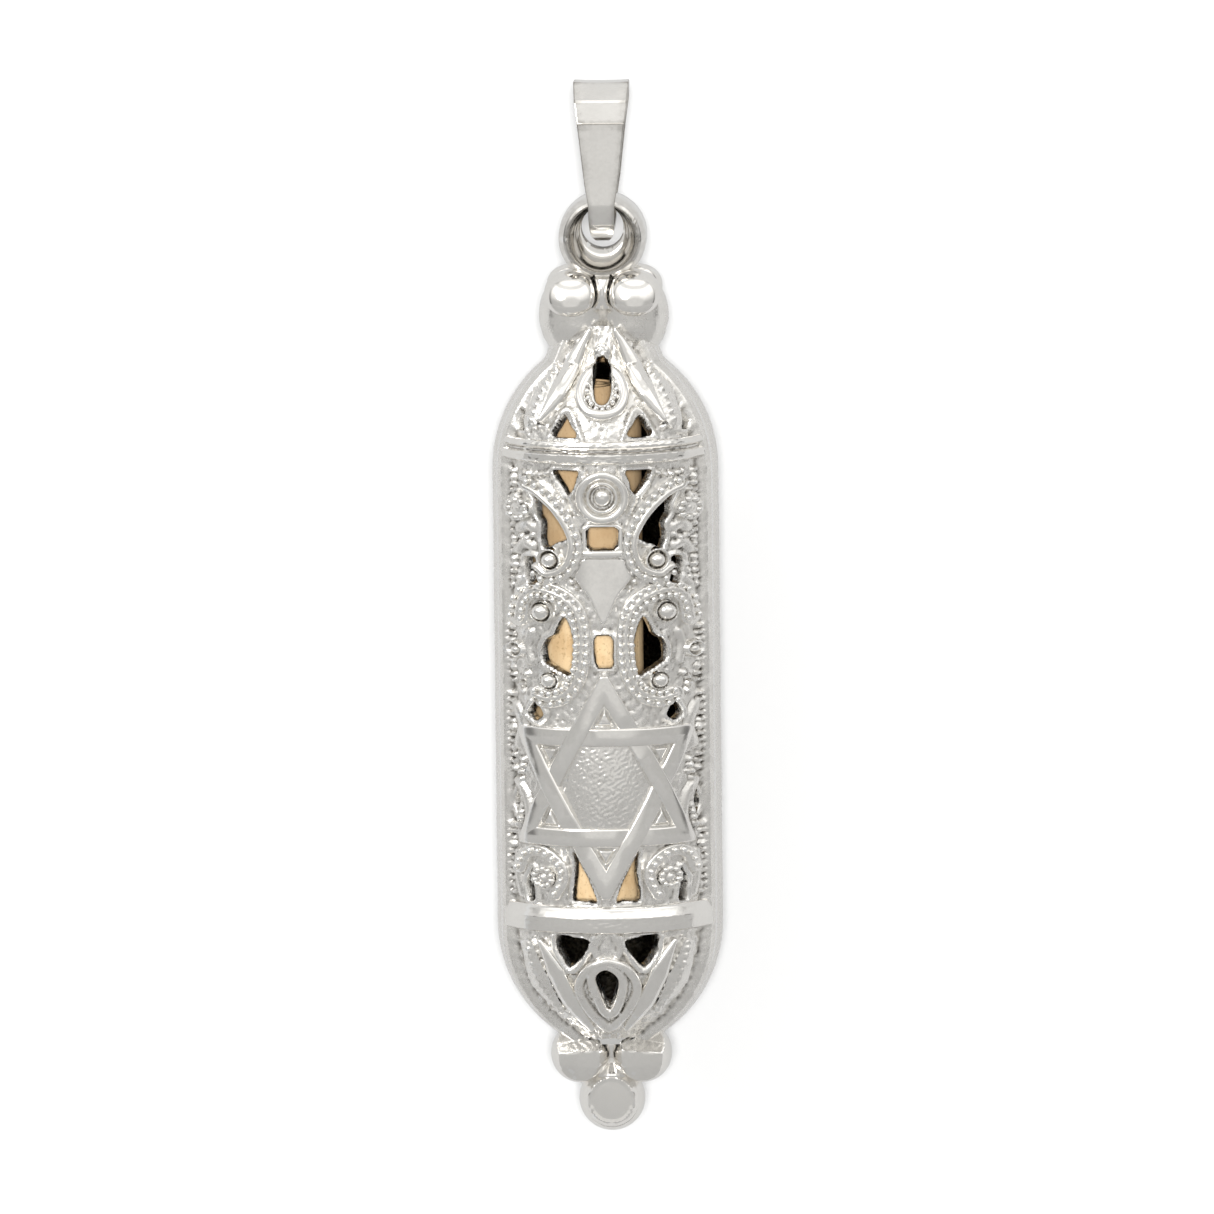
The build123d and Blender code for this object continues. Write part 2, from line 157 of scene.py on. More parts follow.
def rounded(points, rounds=2):
    """Closed outline with its corners cut back to soft ones."""
    points = np.array(points, float)
    for _ in range(rounds):
        after = np.roll(points, -1, axis=0)
        points = np.stack([0.87 * points + 0.13 * after, 0.13 * points + 0.87 * after], 1).reshape(-1, 2)
    return points


def mirrored(points):
    """The same points on the other side of the front."""
    return [(-x, z) for x, z in points]


def to_line(x, z, line):
    """Distance from a line, how far along it the nearest place is, and the side it is on."""
    line = np.array(line, float)
    start = line[:-1]
    step = np.diff(line, axis=0)
    length = np.hypot(*step.T)
    travelled = np.concatenate([[0], np.cumsum(length)[:-1]])
    best = np.full(x.shape, 99.0)
    along = np.zeros(x.shape)
    side = np.ones(x.shape)
    for (sx, sz), (dx, dz), size, before in zip(start, step, length, travelled):
        if size == 0:
            continue
        share = np.clip(((x - sx) * dx + (z - sz) * dz) / size**2, 0, 1)
        gap = np.hypot(x - sx - share * dx, z - sz - share * dz)
        near = gap < best
        best = np.where(near, gap, best)
        along = np.where(near, before + share * size, along)
        side = np.where(near, np.sign(dx * (z - sz) - dz * (x - sx)), side)
    return best, along, side


def outside(x, z, loop):
    """Distance from a closed outline, less than nothing inside it."""
    loop = np.array(loop, float)
    gap, _, _ = to_line(x, z, np.concatenate([loop, loop[:1]]))
    within = np.zeros(x.shape, bool)
    for (ax, az), (bx, bz) in zip(loop, np.roll(loop, -1, axis=0)):
        if az != bz:
            within ^= ((az > z) != (bz > z)) & (x < (bx - ax) * (z - az) / (bz - az) + ax)
    return np.where(within, -gap, gap)


def step_up(value, start, end):
    """0 before start, 1 after end, and a smooth step between."""
    share = np.clip((value - start) / (end - start), 0, 1)
    return share * share * (3 - 2 * share)


def edge_drop(depth, radius):
    """How far a rounded edge has dropped at a depth in from the edge."""
    share = 1 - np.clip(depth / radius, 0, 1)
    return radius * (1 - np.sqrt(1 - 0.98 * share**2))


def hump(distance, half_width):
    """Round-topped ridge of height 1."""
    return np.sqrt(np.clip(1 - (distance / half_width) ** 2, 0, 1))


def bead_humps(gap, along, pitch, radius):
    """Row of round beads along a line."""
    step = (along / pitch - np.floor(along / pitch) - 0.5) * pitch
    return np.sqrt(np.clip(1 - (gap**2 + step**2) / radius**2, 0, 1))


# ------------------------------------------------------------------ meshes
def add_piece(name, points, faces, nodes, finishes, finish_of_face=None, crease=38):
    """A mesh from points in mm that stands for CAD nodes and rides on their body."""
    mesh = bpy.data.meshes.new(name)
    mesh.from_pydata((np.asarray(points) * MM).tolist(), [], faces)
    piece = bpy.data.objects.new(name, mesh)
    bpy.context.scene.collection.objects.link(piece)
    for finish in finishes:
        mesh.materials.append(finish)
    if finish_of_face is not None:
        mesh.polygons.foreach_set("material_index", np.asarray(finish_of_face, np.int32))
    mesh.polygons.foreach_set("use_smooth", np.ones(len(mesh.polygons), bool))
    mesh.set_sharp_from_angle(angle=math.radians(crease))
    mesh.validate()
    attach(piece, body_of[nodes[0]])
    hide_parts(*nodes)
    return piece


def relief(name, grid_x, grid_z, depth_at, lift_at, finishes, floor=sunk):
    """Closed solid over the part of a grid whose depth is more than nothing, shaped by its lift."""
    depth = depth_at(grid_x, grid_z)
    inside = depth > 0
    number = np.full(grid_x.shape, -1)
    number[inside] = np.arange(inside.sum())
    px = list(grid_x[inside])
    pz = list(grid_z[inside])
    deep = list(depth[inside])
    kept = inside[:-1, :-1] & inside[1:, :-1] & inside[1:, 1:] & inside[:-1, 1:]
    faces = np.stack([number[:-1, :-1][kept], number[1:, :-1][kept],
                      number[1:, 1:][kept], number[:-1, 1:][kept]], axis=1).tolist()
    some = inside[:-1, :-1] | inside[1:, :-1] | inside[1:, 1:] | inside[:-1, 1:]
    crossings = {}
    for i, j in zip(*np.nonzero(some & ~kept)):
        corners = ((i, j), (i + 1, j), (i + 1, j + 1), (i, j + 1))
        face = []
        for here, there in zip(corners, corners[1:] + corners[:1]):
            if inside[here]:
                face.append(number[here])
            if inside[here] != inside[there]:
                key = (min(here, there), max(here, there))
                if key not in crossings:
                    first, last = (here, there) if inside[here] else (there, here)
                    share = np.clip(depth[first] / (depth[first] - depth[last]), 0.04, 0.96)
                    crossings[key] = len(px)
                    px.append(grid_x[first] + share * (grid_x[last] - grid_x[first]))
                    pz.append(grid_z[first] + share * (grid_z[last] - grid_z[first]))
                    deep.append(0.0)
                face.append(crossings[key])
        if len(face) > 2:
            faces.append(face)
    px, pz, deep = np.array(px), np.array(pz), np.array(deep)
    top = on_case(px, pz, lift_at(px, pz, deep))
    bottom = on_case(px, pz, floor + np.zeros(len(px)))
    count = len(px)
    sides = {}
    for face in faces:
        for a, b in zip(face, face[1:] + face[:1]):
            if (b, a) in sides:
                del sides[(b, a)]
            else:
                sides[(a, b)] = True
    walls = [[b, a, a + count, b + count] for a, b in sides]
    under = [[index + count for index in reversed(face)] for face in faces]
    finish_of_face = [0] * (len(faces) + len(walls)) + [len(finishes) - 1] * len(under)
    return add_piece(name, np.concatenate([top, bottom]), faces + walls + under,
                     [name.replace("_silver", "")], finishes, finish_of_face)


def patch(x_low, x_high, z_low, z_high, cell=0.055):
    """Even grid over a rectangle of the front view."""
    xs = np.linspace(x_low, x_high, max(4, round((x_high - x_low) / cell)) + 1)
    zs = np.linspace(z_low, z_high, max(4, round((z_high - z_low) / cell)) + 1)
    return np.meshgrid(xs, zs, indexing="ij")


def patch_over(node, cell=0.055, spare=0.15):
    """Even grid over a CAD node's front view."""
    low, high = node_box(node)
    return patch(low[0] - spare, high[0] + spare, low[2] - spare, high[2] + spare, cell)


def skin_rings(rings, closed_ends=True):
    """Points and faces of a tube of equal rings, given as one array per ring."""
    count = len(rings[0])
    points = np.concatenate(rings)
    faces = []
    for ring in range(len(rings) - 1):
        for k in range(count):
            a = ring * count + k
            b = ring * count + (k + 1) % count
            faces.append([a, b, b + count, a + count])
    if closed_ends:
        faces.append(list(range(count))[::-1])
        faces.append([len(points) - count + k for k in range(count)])
    return points, faces


def ball_grid(count_round=64, count_up=40):
    """Directions over a ball as rings, foot first, with tiny end rings."""
    rises = np.linspace(-math.pi / 2 + 0.02, math.pi / 2 - 0.02, count_up)
    turns = np.linspace(0, 2 * math.pi, count_round, endpoint=False)
    return [np.stack([np.cos(rise) * np.cos(turns), np.cos(rise) * np.sin(turns),
                      np.full(count_round, np.sin(rise))], 1) for rise in rises]


def joined(parts):
    """Several (points, faces) put together as one."""
    points, faces, before = [], [], 0
    for part_points, part_faces in parts:
        points.append(part_points)
        faces += [[index + before for index in face] for face in part_faces]
        before += len(part_points)
    return np.concatenate(points), faces


# ------------------------------------------------------------------ finishes
def new_group(name, inputs, outputs):
    """Empty shader group with named sockets, given as (name, kind, value) and (name, kind)."""
    group = bpy.data.node_groups.new(name, "ShaderNodeTree")
    for socket, kind, value in inputs:
        made = group.interface.new_socket(name=socket, in_out="INPUT", socket_type=kind)
        if value is not None:
            made.default_value = value
    for socket, kind in outputs:
        group.interface.new_socket(name=socket, in_out="OUTPUT", socket_type=kind)
    return group, group.nodes.new("NodeGroupInput"), group.nodes.new("NodeGroupOutput")


def maths(tree, operation, first, second=None, third=None):
    """Math node; its inputs are sockets or plain numbers."""
    node = tree.nodes.new("ShaderNodeMath")
    node.operation = operation
    for socket, value in zip(node.inputs, (first, second, third)):
        if value is None:
            continue
        if isinstance(value, (int, float)):
            socket.default_value = value
        else:
            tree.links.new(value, socket)
    return node.outputs[0]


def spread(tree, value, low, high, to_low, to_high):
    """Map Range node with a smooth step."""
    node = tree.nodes.new("ShaderNodeMapRange")
    node.interpolation_type = "SMOOTHSTEP"
    tree.links.new(value, node.inputs["Value"])
    for socket, number in zip(("From Min", "From Max", "To Min", "To Max"), (low, high, to_low, to_high)):
        node.inputs[socket].default_value = number
    return node.outputs["Result"]


def noise(tree, place, scale, detail=3.0, roughness=0.55):
    """Noise texture; its scale is a socket or a plain number."""
    node = tree.nodes.new("ShaderNodeTexNoise")
    tree.links.new(place, node.inputs["Vector"])
    if isinstance(scale, (int, float)):
        node.inputs["Scale"].default_value = scale
    else:
        tree.links.new(scale, node.inputs["Scale"])
    node.inputs["Detail"].default_value = detail
    node.inputs["Roughness"].default_value = roughness
    return node.outputs["Fac"]


def blended(tree, share, first, second):
    """Colour mix; its colours are sockets or plain RGB."""
    node = tree.nodes.new("ShaderNodeMix")
    node.data_type = "RGBA"
    tree.links.new(share, node.inputs["Factor"])
    for socket, colour in ((node.inputs["A"], first), (node.inputs["B"], second)):
        if isinstance(colour, tuple):
            socket.default_value = (*colour, 1)
        else:
            tree.links.new(colour, socket)
    return node.outputs["Result"]


def cast_grain_group():
    """Fine sand-cast grain: a height for bumps and a shade that varies with it."""
    group, given, out = new_group(
        "cast grain",
        [("Place", "NodeSocketVector", None), ("Grains per mm", "NodeSocketFloat", 6.0),
         ("Pits", "NodeSocketFloat", 0.3)],
        [("Height", "NodeSocketFloat"), ("Shade", "NodeSocketFloat")],
    )
    fine = noise(group, given.outputs["Place"], given.outputs["Grains per mm"], 4.0, 0.6)
    cells = group.nodes.new("ShaderNodeTexVoronoi")
    group.links.new(given.outputs["Place"], cells.inputs["Vector"])
    group.links.new(given.outputs["Grains per mm"], cells.inputs["Scale"])
    pits = maths(group, "MULTIPLY", cells.outputs["Distance"], given.outputs["Pits"])
    group.links.new(maths(group, "ADD", fine, pits), out.inputs["Height"])
    broad = noise(group, given.outputs["Place"], 0.9, 3.0)
    both = maths(group, "ADD", broad, fine)
    group.links.new(spread(group, both, 0.7, 1.3, 0.0, 1.0), out.inputs["Shade"])
    return group


def edge_wear_and_hollow_shade_group():
    """Masks for rubbed-bright edges and for painted shade in the hollows."""
    group, given, out = new_group(
        "worn edges and hollow shade",
        [("Place", "NodeSocketVector", None), ("Unevenness", "NodeSocketFloat", 0.04)],
        [("Edge", "NodeSocketFloat"), ("Hollow shade", "NodeSocketFloat")],
    )
    sharpness = group.nodes.new("ShaderNodeNewGeometry").outputs["Pointiness"]
    patchy = maths(group, "SUBTRACT", noise(group, given.outputs["Place"], 3.0), 0.5)
    moved = maths(group, "MULTIPLY_ADD", patchy, given.outputs["Unevenness"], sharpness)
    group.links.new(spread(group, moved, 0.52, 0.6, 0.0, 1.0), out.inputs["Edge"])
    # Second mask: painted shade, high in concave places where shade would fall.
    group.links.new(spread(group, moved, 0.42, 0.495, 1.0, 0.0), out.inputs["Hollow shade"])
    return group


def polish_marks_group():
    """Hair-fine marks left by a polishing cloth."""
    group, given, out = new_group(
        "polish marks",
        [("Place", "NodeSocketVector", None), ("Marks per mm", "NodeSocketFloat", 12.0)],
        [("Height", "NodeSocketFloat"), ("Dullness", "NodeSocketFloat")],
    )
    squash = group.nodes.new("ShaderNodeVectorMath")
    squash.operation = "MULTIPLY"
    squash.inputs[1].default_value = (1.0, 1.0, 0.12)
    group.links.new(given.outputs["Place"], squash.inputs[0])
    marks = noise(group, squash.outputs[0], given.outputs["Marks per mm"], 2.0)
    group.links.new(marks, out.inputs["Height"])
    smears = noise(group, given.outputs["Place"], 0.7, 2.0)
    group.links.new(spread(group, smears, 0.4, 0.7, 0.0, 1.0), out.inputs["Dullness"])
    return group


cast_grain = cast_grain_group()
edge_wear_and_hollow_shade = edge_wear_and_hollow_shade_group()
polish_marks = polish_marks_group()


def new_finish(name):
    """Material with a Principled shader, and coordinates in millimetres on the piece itself."""
    finish = bpy.data.materials.new(name)
    finish.use_nodes = True
    tree = finish.node_tree
    shader = tree.nodes["Principled BSDF"]
    coordinates = tree.nodes.new("ShaderNodeTexCoord")
    scale = tree.nodes.new("ShaderNodeVectorMath")
    scale.operation = "SCALE"
    scale.inputs["Scale"].default_value = 1 / MM
    tree.links.new(coordinates.outputs["Object"], scale.inputs[0])
    return finish, tree, shader, scale.outputs[0]


def placed(tree, group, place, **values):
    """A shader group in a material, with its own values."""
    node = tree.nodes.new("ShaderNodeGroup")
    node.node_tree = group
    tree.links.new(place, node.inputs["Place"])
    for name, value in values.items():
        node.inputs[name.replace("_", " ")].default_value = value
    return node


def bumped(tree, shader, height, depth_mm):
    """Bump on a shader, from a height between 0 and about 1."""
    bump = tree.nodes.new("ShaderNodeBump")
    bump.inputs["Strength"].default_value = 1.0
    bump.inputs["Distance"].default_value = depth_mm * MM
    tree.links.new(height, bump.inputs["Height"])
    tree.links.new(bump.outputs["Normal"], shader.inputs["Normal"])


def silver(name, colour, dull, hollow_shade, smooth, rough, grains, depth, pits=0.3, edge_gloss=0.1):
    """Silver with cast grain, rubbed edges, and painted shade darkening its hollows."""
    finish, tree, shader, place = new_finish(name)
    grained = placed(tree, cast_grain, place, Grains_per_mm=grains, Pits=pits)
    wear_and_shade = placed(tree, edge_wear_and_hollow_shade, place)
    marks = placed(tree, polish_marks, place)
    body = blended(tree, grained.outputs["Shade"], dull, colour)
    # Painted shade: concave places are mixed toward the dark fourth colour.
    body = blended(tree, wear_and_shade.outputs["Hollow shade"], body, hollow_shade)
    body = blended(tree, wear_and_shade.outputs["Edge"], body, (0.97, 0.965, 0.95))
    tree.links.new(body, shader.inputs["Base Color"])
    gloss = spread(tree, grained.outputs["Shade"], 0.0, 1.0, rough, smooth)
    gloss = maths(tree, "MULTIPLY_ADD", marks.outputs["Dullness"], 0.05, gloss)
    gloss = maths(tree, "MULTIPLY_ADD", wear_and_shade.outputs["Hollow shade"], 0.15, gloss)
    gloss = maths(tree, "MULTIPLY_ADD", wear_and_shade.outputs["Edge"], -edge_gloss, gloss)
    tree.links.new(maths(tree, "MAXIMUM", gloss, 0.05), shader.inputs["Roughness"])
    shader.inputs["Metallic"].default_value = 1.0
    height = maths(tree, "MULTIPLY_ADD", marks.outputs["Height"], 0.15, grained.outputs["Height"])
    bumped(tree, shader, height, depth)
    return finish


# The fourth colour of each silver is the painted shade laid into its hollows.
polished = silver("polished silver", (0.95, 0.93, 0.895), (0.9, 0.88, 0.845), (0.3, 0.28, 0.25),
                  0.08, 0.13, 5.0, 0.0012, 0.05, 0.03)
satin = silver("satin silver", (0.92, 0.9, 0.865), (0.87, 0.85, 0.815), (0.55, 0.525, 0.48),
               0.2, 0.3, 8.0, 0.004, 0.2)
ornament = silver("ornament silver", (0.95, 0.93, 0.895), (0.86, 0.84, 0.805), (0.26, 0.245, 0.215),
                  0.14, 0.26, 7.0, 0.006, 0.3)
cast = silver("cast silver", (0.95, 0.93, 0.895), (0.82, 0.8, 0.765), (0.18, 0.165, 0.145),
              0.2, 0.38, 7.0, 0.014, 0.5)


def oxidised_inside():
    """Dark unpolished metal of the shells' inner faces."""
    finish, tree, shader, place = new_finish("oxidised inside")
    grained = placed(tree, cast_grain, place, Grains_per_mm=5.0, Pits=0.6)
    colour = blended(tree, grained.outputs["Shade"], (0.09, 0.08, 0.065), (0.5, 0.47, 0.41))
    tree.links.new(colour, shader.inputs["Base Color"])
    tree.links.new(spread(tree, grained.outputs["Shade"], 0.0, 1.0, 0.6, 0.3), shader.inputs["Roughness"])
    shader.inputs["Metallic"].default_value = 1.0
    bumped(tree, shader, grained.outputs["Height"], 0.05)
    return finish


def parchment_skin():
    """Tan parchment with small brown flecks, soft clouds and fine fibres, with painted shadow darkening its upper
    part.
    """
    finish, tree, shader, place = new_finish("parchment skin")
    clouds = noise(tree, place, 0.8, 4.0)
    flecks = noise(tree, place, 7.0, 3.0, 0.7)
    fibres = placed(tree, polish_marks, place, Marks_per_mm=5.0)
    tan, pale_tan, brown_fleck = (0.69, 0.48, 0.26), (0.82, 0.61, 0.36), (0.42, 0.26, 0.12)
    pale_fibre, painted_shadow_tan = (0.85, 0.68, 0.44), (0.4, 0.27, 0.15)
    colour = blended(tree, spread(tree, clouds, 0.35, 0.65, 0.0, 1.0), tan, pale_tan)
    colour = blended(tree, spread(tree, flecks, 0.56, 0.68, 0.0, 0.75), colour, brown_fleck)
    fibre_share = spread(tree, fibres.outputs["Height"], 0.45, 0.75, 0.0, 0.3)
    colour = blended(tree, fibre_share, colour, pale_fibre)
    parted = tree.nodes.new("ShaderNodeSeparateXYZ")
    tree.links.new(place, parted.inputs[0])
    # Painted shadow: the upper part of the sheet is mixed toward a shaded tan.
    top_shadow_share = spread(tree, parted.outputs["Z"], -26.5, -22.0, 0.0, 0.65)
    colour = blended(tree, top_shadow_share, colour, painted_shadow_tan)
    tree.links.new(colour, shader.inputs["Base Color"])
    shader.inputs["Roughness"].default_value = 0.7
    bumped(tree, shader, maths(tree, "ADD", flecks, fibres.outputs["Height"]), 0.02)
    return finish


inside_metal = oxidised_inside()
parchment = parchment_skin()


# ------------------------------------------------------------------ windows of the front shell
right_windows = [
    [(4.1, -19.3), (3.45, -19.6), (2.75, -20.25), (2.2, -21.0), (1.82, -21.75), (2.5, -22.05), (3.3, -22.4),
     (3.5, -21.8), (3.4, -21.0), (3.75, -20.5), (3.75, -19.95)],
    [(1.25, -18.15), (2.0, -18.15), (2.8, -18.12), (2.45, -18.7), (1.85, -19.5), (1.55, -19.1), (1.45, -18.6)],
    [(3.75, -22.85), (4.4, -22.9), (4.35, -23.6), (4.15, -24.4), (3.55, -24.2), (3.7, -23.5)],
    [(2.2, -25.9), (1.85, -26.5), (1.7, -27.2), (1.7, -28.2), (1.88, -29.2), (2.2, -29.0), (2.75, -28.75),
     (3.4, -28.4), (3.5, -27.7), (3.25, -27.2), (2.8, -26.95), (2.55, -26.4)],
    [(3.9, -30.45), (4.35, -31.3), (3.85, -31.7), (3.35, -31.3)],
    [(4.95, -35.4), (5.2, -36.1), (5.0, -36.9), (4.78, -36.1)],
    [(1.9, -38.3), (1.66, -39.4), (1.82, -40.4), (1.88, -41.2), (1.2, -41.12), (0.45, -41.3), (1.0, -39.9)],
    [(4.15, -39.4), (4.5, -40.2), (4.38, -41.35), (3.95, -41.3), (4.05, -40.4)],
    [(2.1, -14.95), (2.85, -16.25), (2.1, -16.35), (1.3, -16.3)],
    [(4.35, -14.95), (4.7, -15.6), (4.72, -16.15), (4.3, -16.1), (4.4, -15.6)],
    [(0.85, -43.3), (1.9, -43.1), (2.9, -42.98), (2.75, -43.9), (2.1, -44.95), (1.4, -44.25)],
]
crown_drop_hole = smooth_line([(0, -12.4), (0.38, -12.7), (0.52, -13.7), (0.35, -14.4), (0, -14.6),
                               (-0.35, -14.4), (-0.5, -13.7), (-0.4, -12.7)], closed=True)
foot_drop_hole = smooth_line([(-0.1, -44.9), (0.5, -45.35), (0.48, -46.2), (0.05, -47.2),
                              (-0.4, -46.2), (-0.6, -45.3)], closed=True)
square_hole = rounded([(-0.86, -21.14), (0.86, -21.11), (0.82, -22.3), (-0.84, -22.34)], 1)
middle_hole = rounded([(-0.56, -26.95), (0.5, -26.95), (0.55, -28.68), (-0.5, -28.66)], 1)
windows = [crown_drop_hole, foot_drop_hole, square_hole, middle_hole]
for hole in right_windows:
    windows += [rounded(hole), rounded(mirrored(hole))[::-1]]


def window_gap(x, z):
    """Distance from the nearest window, less than nothing inside one."""
    gap = np.full(x.shape, 3.0)
    waver_x = x + 0.035 * grain(x, z, 0.55, 1.0)
    waver_z = z + 0.035 * grain(x, z, 0.6, 2.0)
    for hole in windows:
        middle = hole.mean(axis=0)
        reach = np.abs(hole - middle).max(axis=0) + 0.8
        near = (np.abs(x - middle[0]) < reach[0]) & (np.abs(z - middle[1]) < reach[1])
        gap[near] = np.minimum(gap[near], outside(waver_x[near], waver_z[near], hole))
    return gap


# ------------------------------------------------------------------ lines of the ornament, seen from the front
upper_curl = [(4.1, -19.0), (3.4, -19.3), (2.4, -20.2), (1.7, -21.3), (1.5, -22.3), (1.95, -23.4),
              (2.95, -23.85), (3.6, -23.5)]
middle_curl = [(4.7, -26.2), (4.45, -25.1), (3.75, -24.6), (2.9, -24.65), (2.1, -25.0), (1.5, -25.6),
               (1.2, -26.5), (1.17, -27.6), (1.3, -28.7), (1.65, -29.6), (2.2, -30.15), (3.0, -30.4),
               (3.8, -30.25)]
foot_curl = [(4.8, -39.6), (4.45, -38.85), (3.85, -38.55), (3.1, -38.75), (2.45, -39.4), (2.4, -40.1),
             (2.8, -40.85)]
side_bead_lines = [
    [(5.02, -18.2), (5.05, -20.5), (5.0, -22.6), (5.1, -24.6)],
    [(4.25, -18.6), (4.75, -19.4), (4.95, -20.6)],
    [(3.75, -21.6), (4.3, -21.9), (4.8, -21.7)],
    [(4.45, -23.2), (4.75, -24.2), (4.8, -25.2)],
    [(5.15, -26.6), (5.2, -28.0), (5.1, -29.6)],
    [(4.2, -29.0), (4.6, -29.5), (4.5, -30.1), (4.1, -30.1)],
    [(5.15, -30.2), (5.2, -32.0), (5.1, -34.5)],
    [(4.55, -33.6), (4.75, -34.8), (4.6, -36.0), (4.95, -37.4)],
    [(5.2, -37.2), (5.25, -38.6), (5.15, -41.0)],
    [(1.0, -24.2), (1.35, -24.4), (1.75, -24.0)],
    [(2.9, -18.3), (3.6, -18.45), (4.4, -18.35)],
    [(3.3, -16.0), (3.9, -15.0), (3.6, -14.0)],
    [(3.4, -43.7), (3.3, -45.0), (2.7, -46.6)],
]
side_ribs = [
    ([(4.6, -21.4), (4.25, -21.15), (3.9, -21.3)], 0.32, 0.2),
    ([(4.75, -22.6), (4.45, -22.2), (4.0, -22.3)], 0.26, 0.16),
    ([(5.0, -25.6), (4.75, -24.6), (4.4, -24.0)], 0.2, 0.14),
    ([(4.1, -26.9), (4.3, -27.6), (4.15, -28.5)], 0.22, 0.15),
    ([(5.0, -31.0), (4.6, -31.9), (4.85, -33.0)], 0.3, 0.16),
    ([(4.95, -35.0), (4.5, -35.6), (4.3, -36.8), (4.7, -38.1)], 0.24, 0.15),
    ([(4.95, -38.8), (5.0, -39.9), (4.75, -41.0)], 0.24, 0.14),
    ([(0.95, -18.1), (1.3, -18.9), (1.75, -19.6), (1.5, -20.4)], 0.16, 0.14),
    ([(2.65, -18.15), (2.55, -18.9), (2.1, -19.55)], 0.15, 0.16),
    ([(1.1, -16.45), (1.9, -14.85), (2.95, -16.45)], 0.17, 0.16),
    ([(0.75, -43.1), (1.35, -44.5), (2.05, -45.1), (2.8, -44.1), (3.0, -43.1)], 0.2, 0.2),
    ([(0.4, -42.95), (0.75, -43.7), (0.6, -44.2)], 0.22, 0.1),
    ([(0.45, -41.25), (0.9, -40.0), (1.7, -38.6)], 0.13, 0.1),
]


def field_depth(x, z):
    """How far inside the plain side rails a place on the front is."""
    radius, _, _ = skin_at(z)
    return radius - rail_width - np.abs(x)


def ground_lift(x, z, depth):
    """Cast ground between the ornaments: window lips, small beads, ribs, grain, and plain side rails."""
    lift = ground + 0.05 * grain(x, z, 0.3, 3.0) + 0.03 * grain(x, z, 0.17, 4.0)
    lip = hump(depth - 0.1, 0.17)
    lift = np.where(depth < 0.27, np.maximum(lift, ground + 0.16 * lip), lift)
    ax = np.abs(x)
    for line in side_bead_lines:
        curve = smooth_line(line)
        low, high = curve.min(axis=0) - 0.4, curve.max(axis=0) + 0.4
        near = (ax > low[0]) & (ax < high[0]) & (z > low[1]) & (z < high[1])
        gap, along, _ = to_line(ax[near], z[near], curve)
        row = bead_humps(gap, along, 0.36, 0.17) * 0.26
        lift[near] = np.maximum(lift[near], np.where(row > 0, ground + 0.02 + row, lift[near]))
    for line, width, rise in side_ribs:
        curve = smooth_line(line)
        low, high = curve.min(axis=0) - 0.4, curve.max(axis=0) + 0.4
        near = (ax > low[0]) & (ax < high[0]) & (z > low[1]) & (z < high[1])
        gap, _, _ = to_line(ax[near], z[near], curve)
        lift[near] = np.maximum(lift[near], ground + (rise + 0.08) * hump(gap, width))
    drop = edge_drop(depth, 0.1)
    in_field = field_depth(x, z)
    rail = step_up(-in_field, -0.06, 0.12)
    groove = -0.05 * hump(in_field - 0.12, 0.12)
    return (lift - drop + groove) * (1 - rail) + rail * 0.004 * grain(x, z, 1.2, 7.0)


def front_shell():
    """Pierced and ornamented front shell, with a finer grid away from its two side rails."""
    fine_turn = math.radians(62)
    turns = np.concatenate([np.linspace(-parting_angle, -fine_turn, 9)[:-1],
                            np.linspace(-fine_turn, fine_turn, 124),
                            np.linspace(fine_turn, parting_angle, 9)[1:]])
    heights = np.interp(np.linspace(profile_along[-1], 0, 380), profile_along, profile_height)
    grid_turn, grid_z = np.meshgrid(turns, heights, indexing="ij")
    radius, out, _ = skin_at(grid_z)
    grid_x = (radius + middle_lift * out) * np.sin(grid_turn)
    return relief("front_shell_silver", grid_x, grid_z, window_gap, ground_lift, [cast, inside_metal],
                  floor=inner_wall)


def back_shell():
    """Plain closed shell round the back, with its two long edges just under the front's."""
    turns = np.linspace(parting_angle, 2 * math.pi - parting_angle, 72)
    heights = profile_height[::-1][::8]
    low_inside = shell_low[2] + 0.71
    high_inside = shell_high[2] - 1.5
    outer, inner = [], []
    for z in heights:
        radius, out, _ = skin_at(z)
        ripple = 0.006 * np.sin(3 * turns + z)
        outer.append(np.stack([(radius + ripple) * np.sin(turns), -(radius + ripple) * np.cos(turns),
                               np.full(len(turns), z)], 1))
        level = float(np.clip(z, low_inside, high_inside))
        wall, wall_out, _ = skin_at(level)
        bump = 0.04 * grain(turns * 5, np.full(len(turns), z), 0.5, 5.0)
        reach = wall + inner_wall * wall_out + bump
        if z < low_inside or z > high_inside:
            reach = reach * 0.3
        inner.append(np.stack([reach * np.sin(turns), -reach * np.cos(turns),
                               np.full(len(turns), level)], 1))
    rows, count = len(heights), len(turns)
    points = np.concatenate(outer + inner)
    faces, finish = [], []
    for j in range(rows - 1):
        for k in range(count - 1):
            a = j * count + k
            faces.append([a, a + 1, a + 1 + count, a + count])
            finish.append(0)
            b = a + rows * count
            faces.append([b, b + count, b + 1 + count, b + 1])
            finish.append(1)
        for k, flip in ((0, False), (count - 1, True)):
            a = j * count + k
            b = a + rows * count
            edge = [a, a + count, b + count, b]
            faces.append(edge[::-1] if flip else edge)
            finish.append(0)
    for j, flip in ((0, False), (rows - 1, True)):
        for k in range(count - 1):
            a = j * count + k
            b = a + rows * count
            cap = [a, b, b + 1, a + 1]
            faces.append(cap[::-1] if flip else cap)
            finish.append(0)
    return add_piece("back_shell_silver", points, faces, ["back_shell"], [satin, inside_metal], finish)


front_shell()
back_shell()


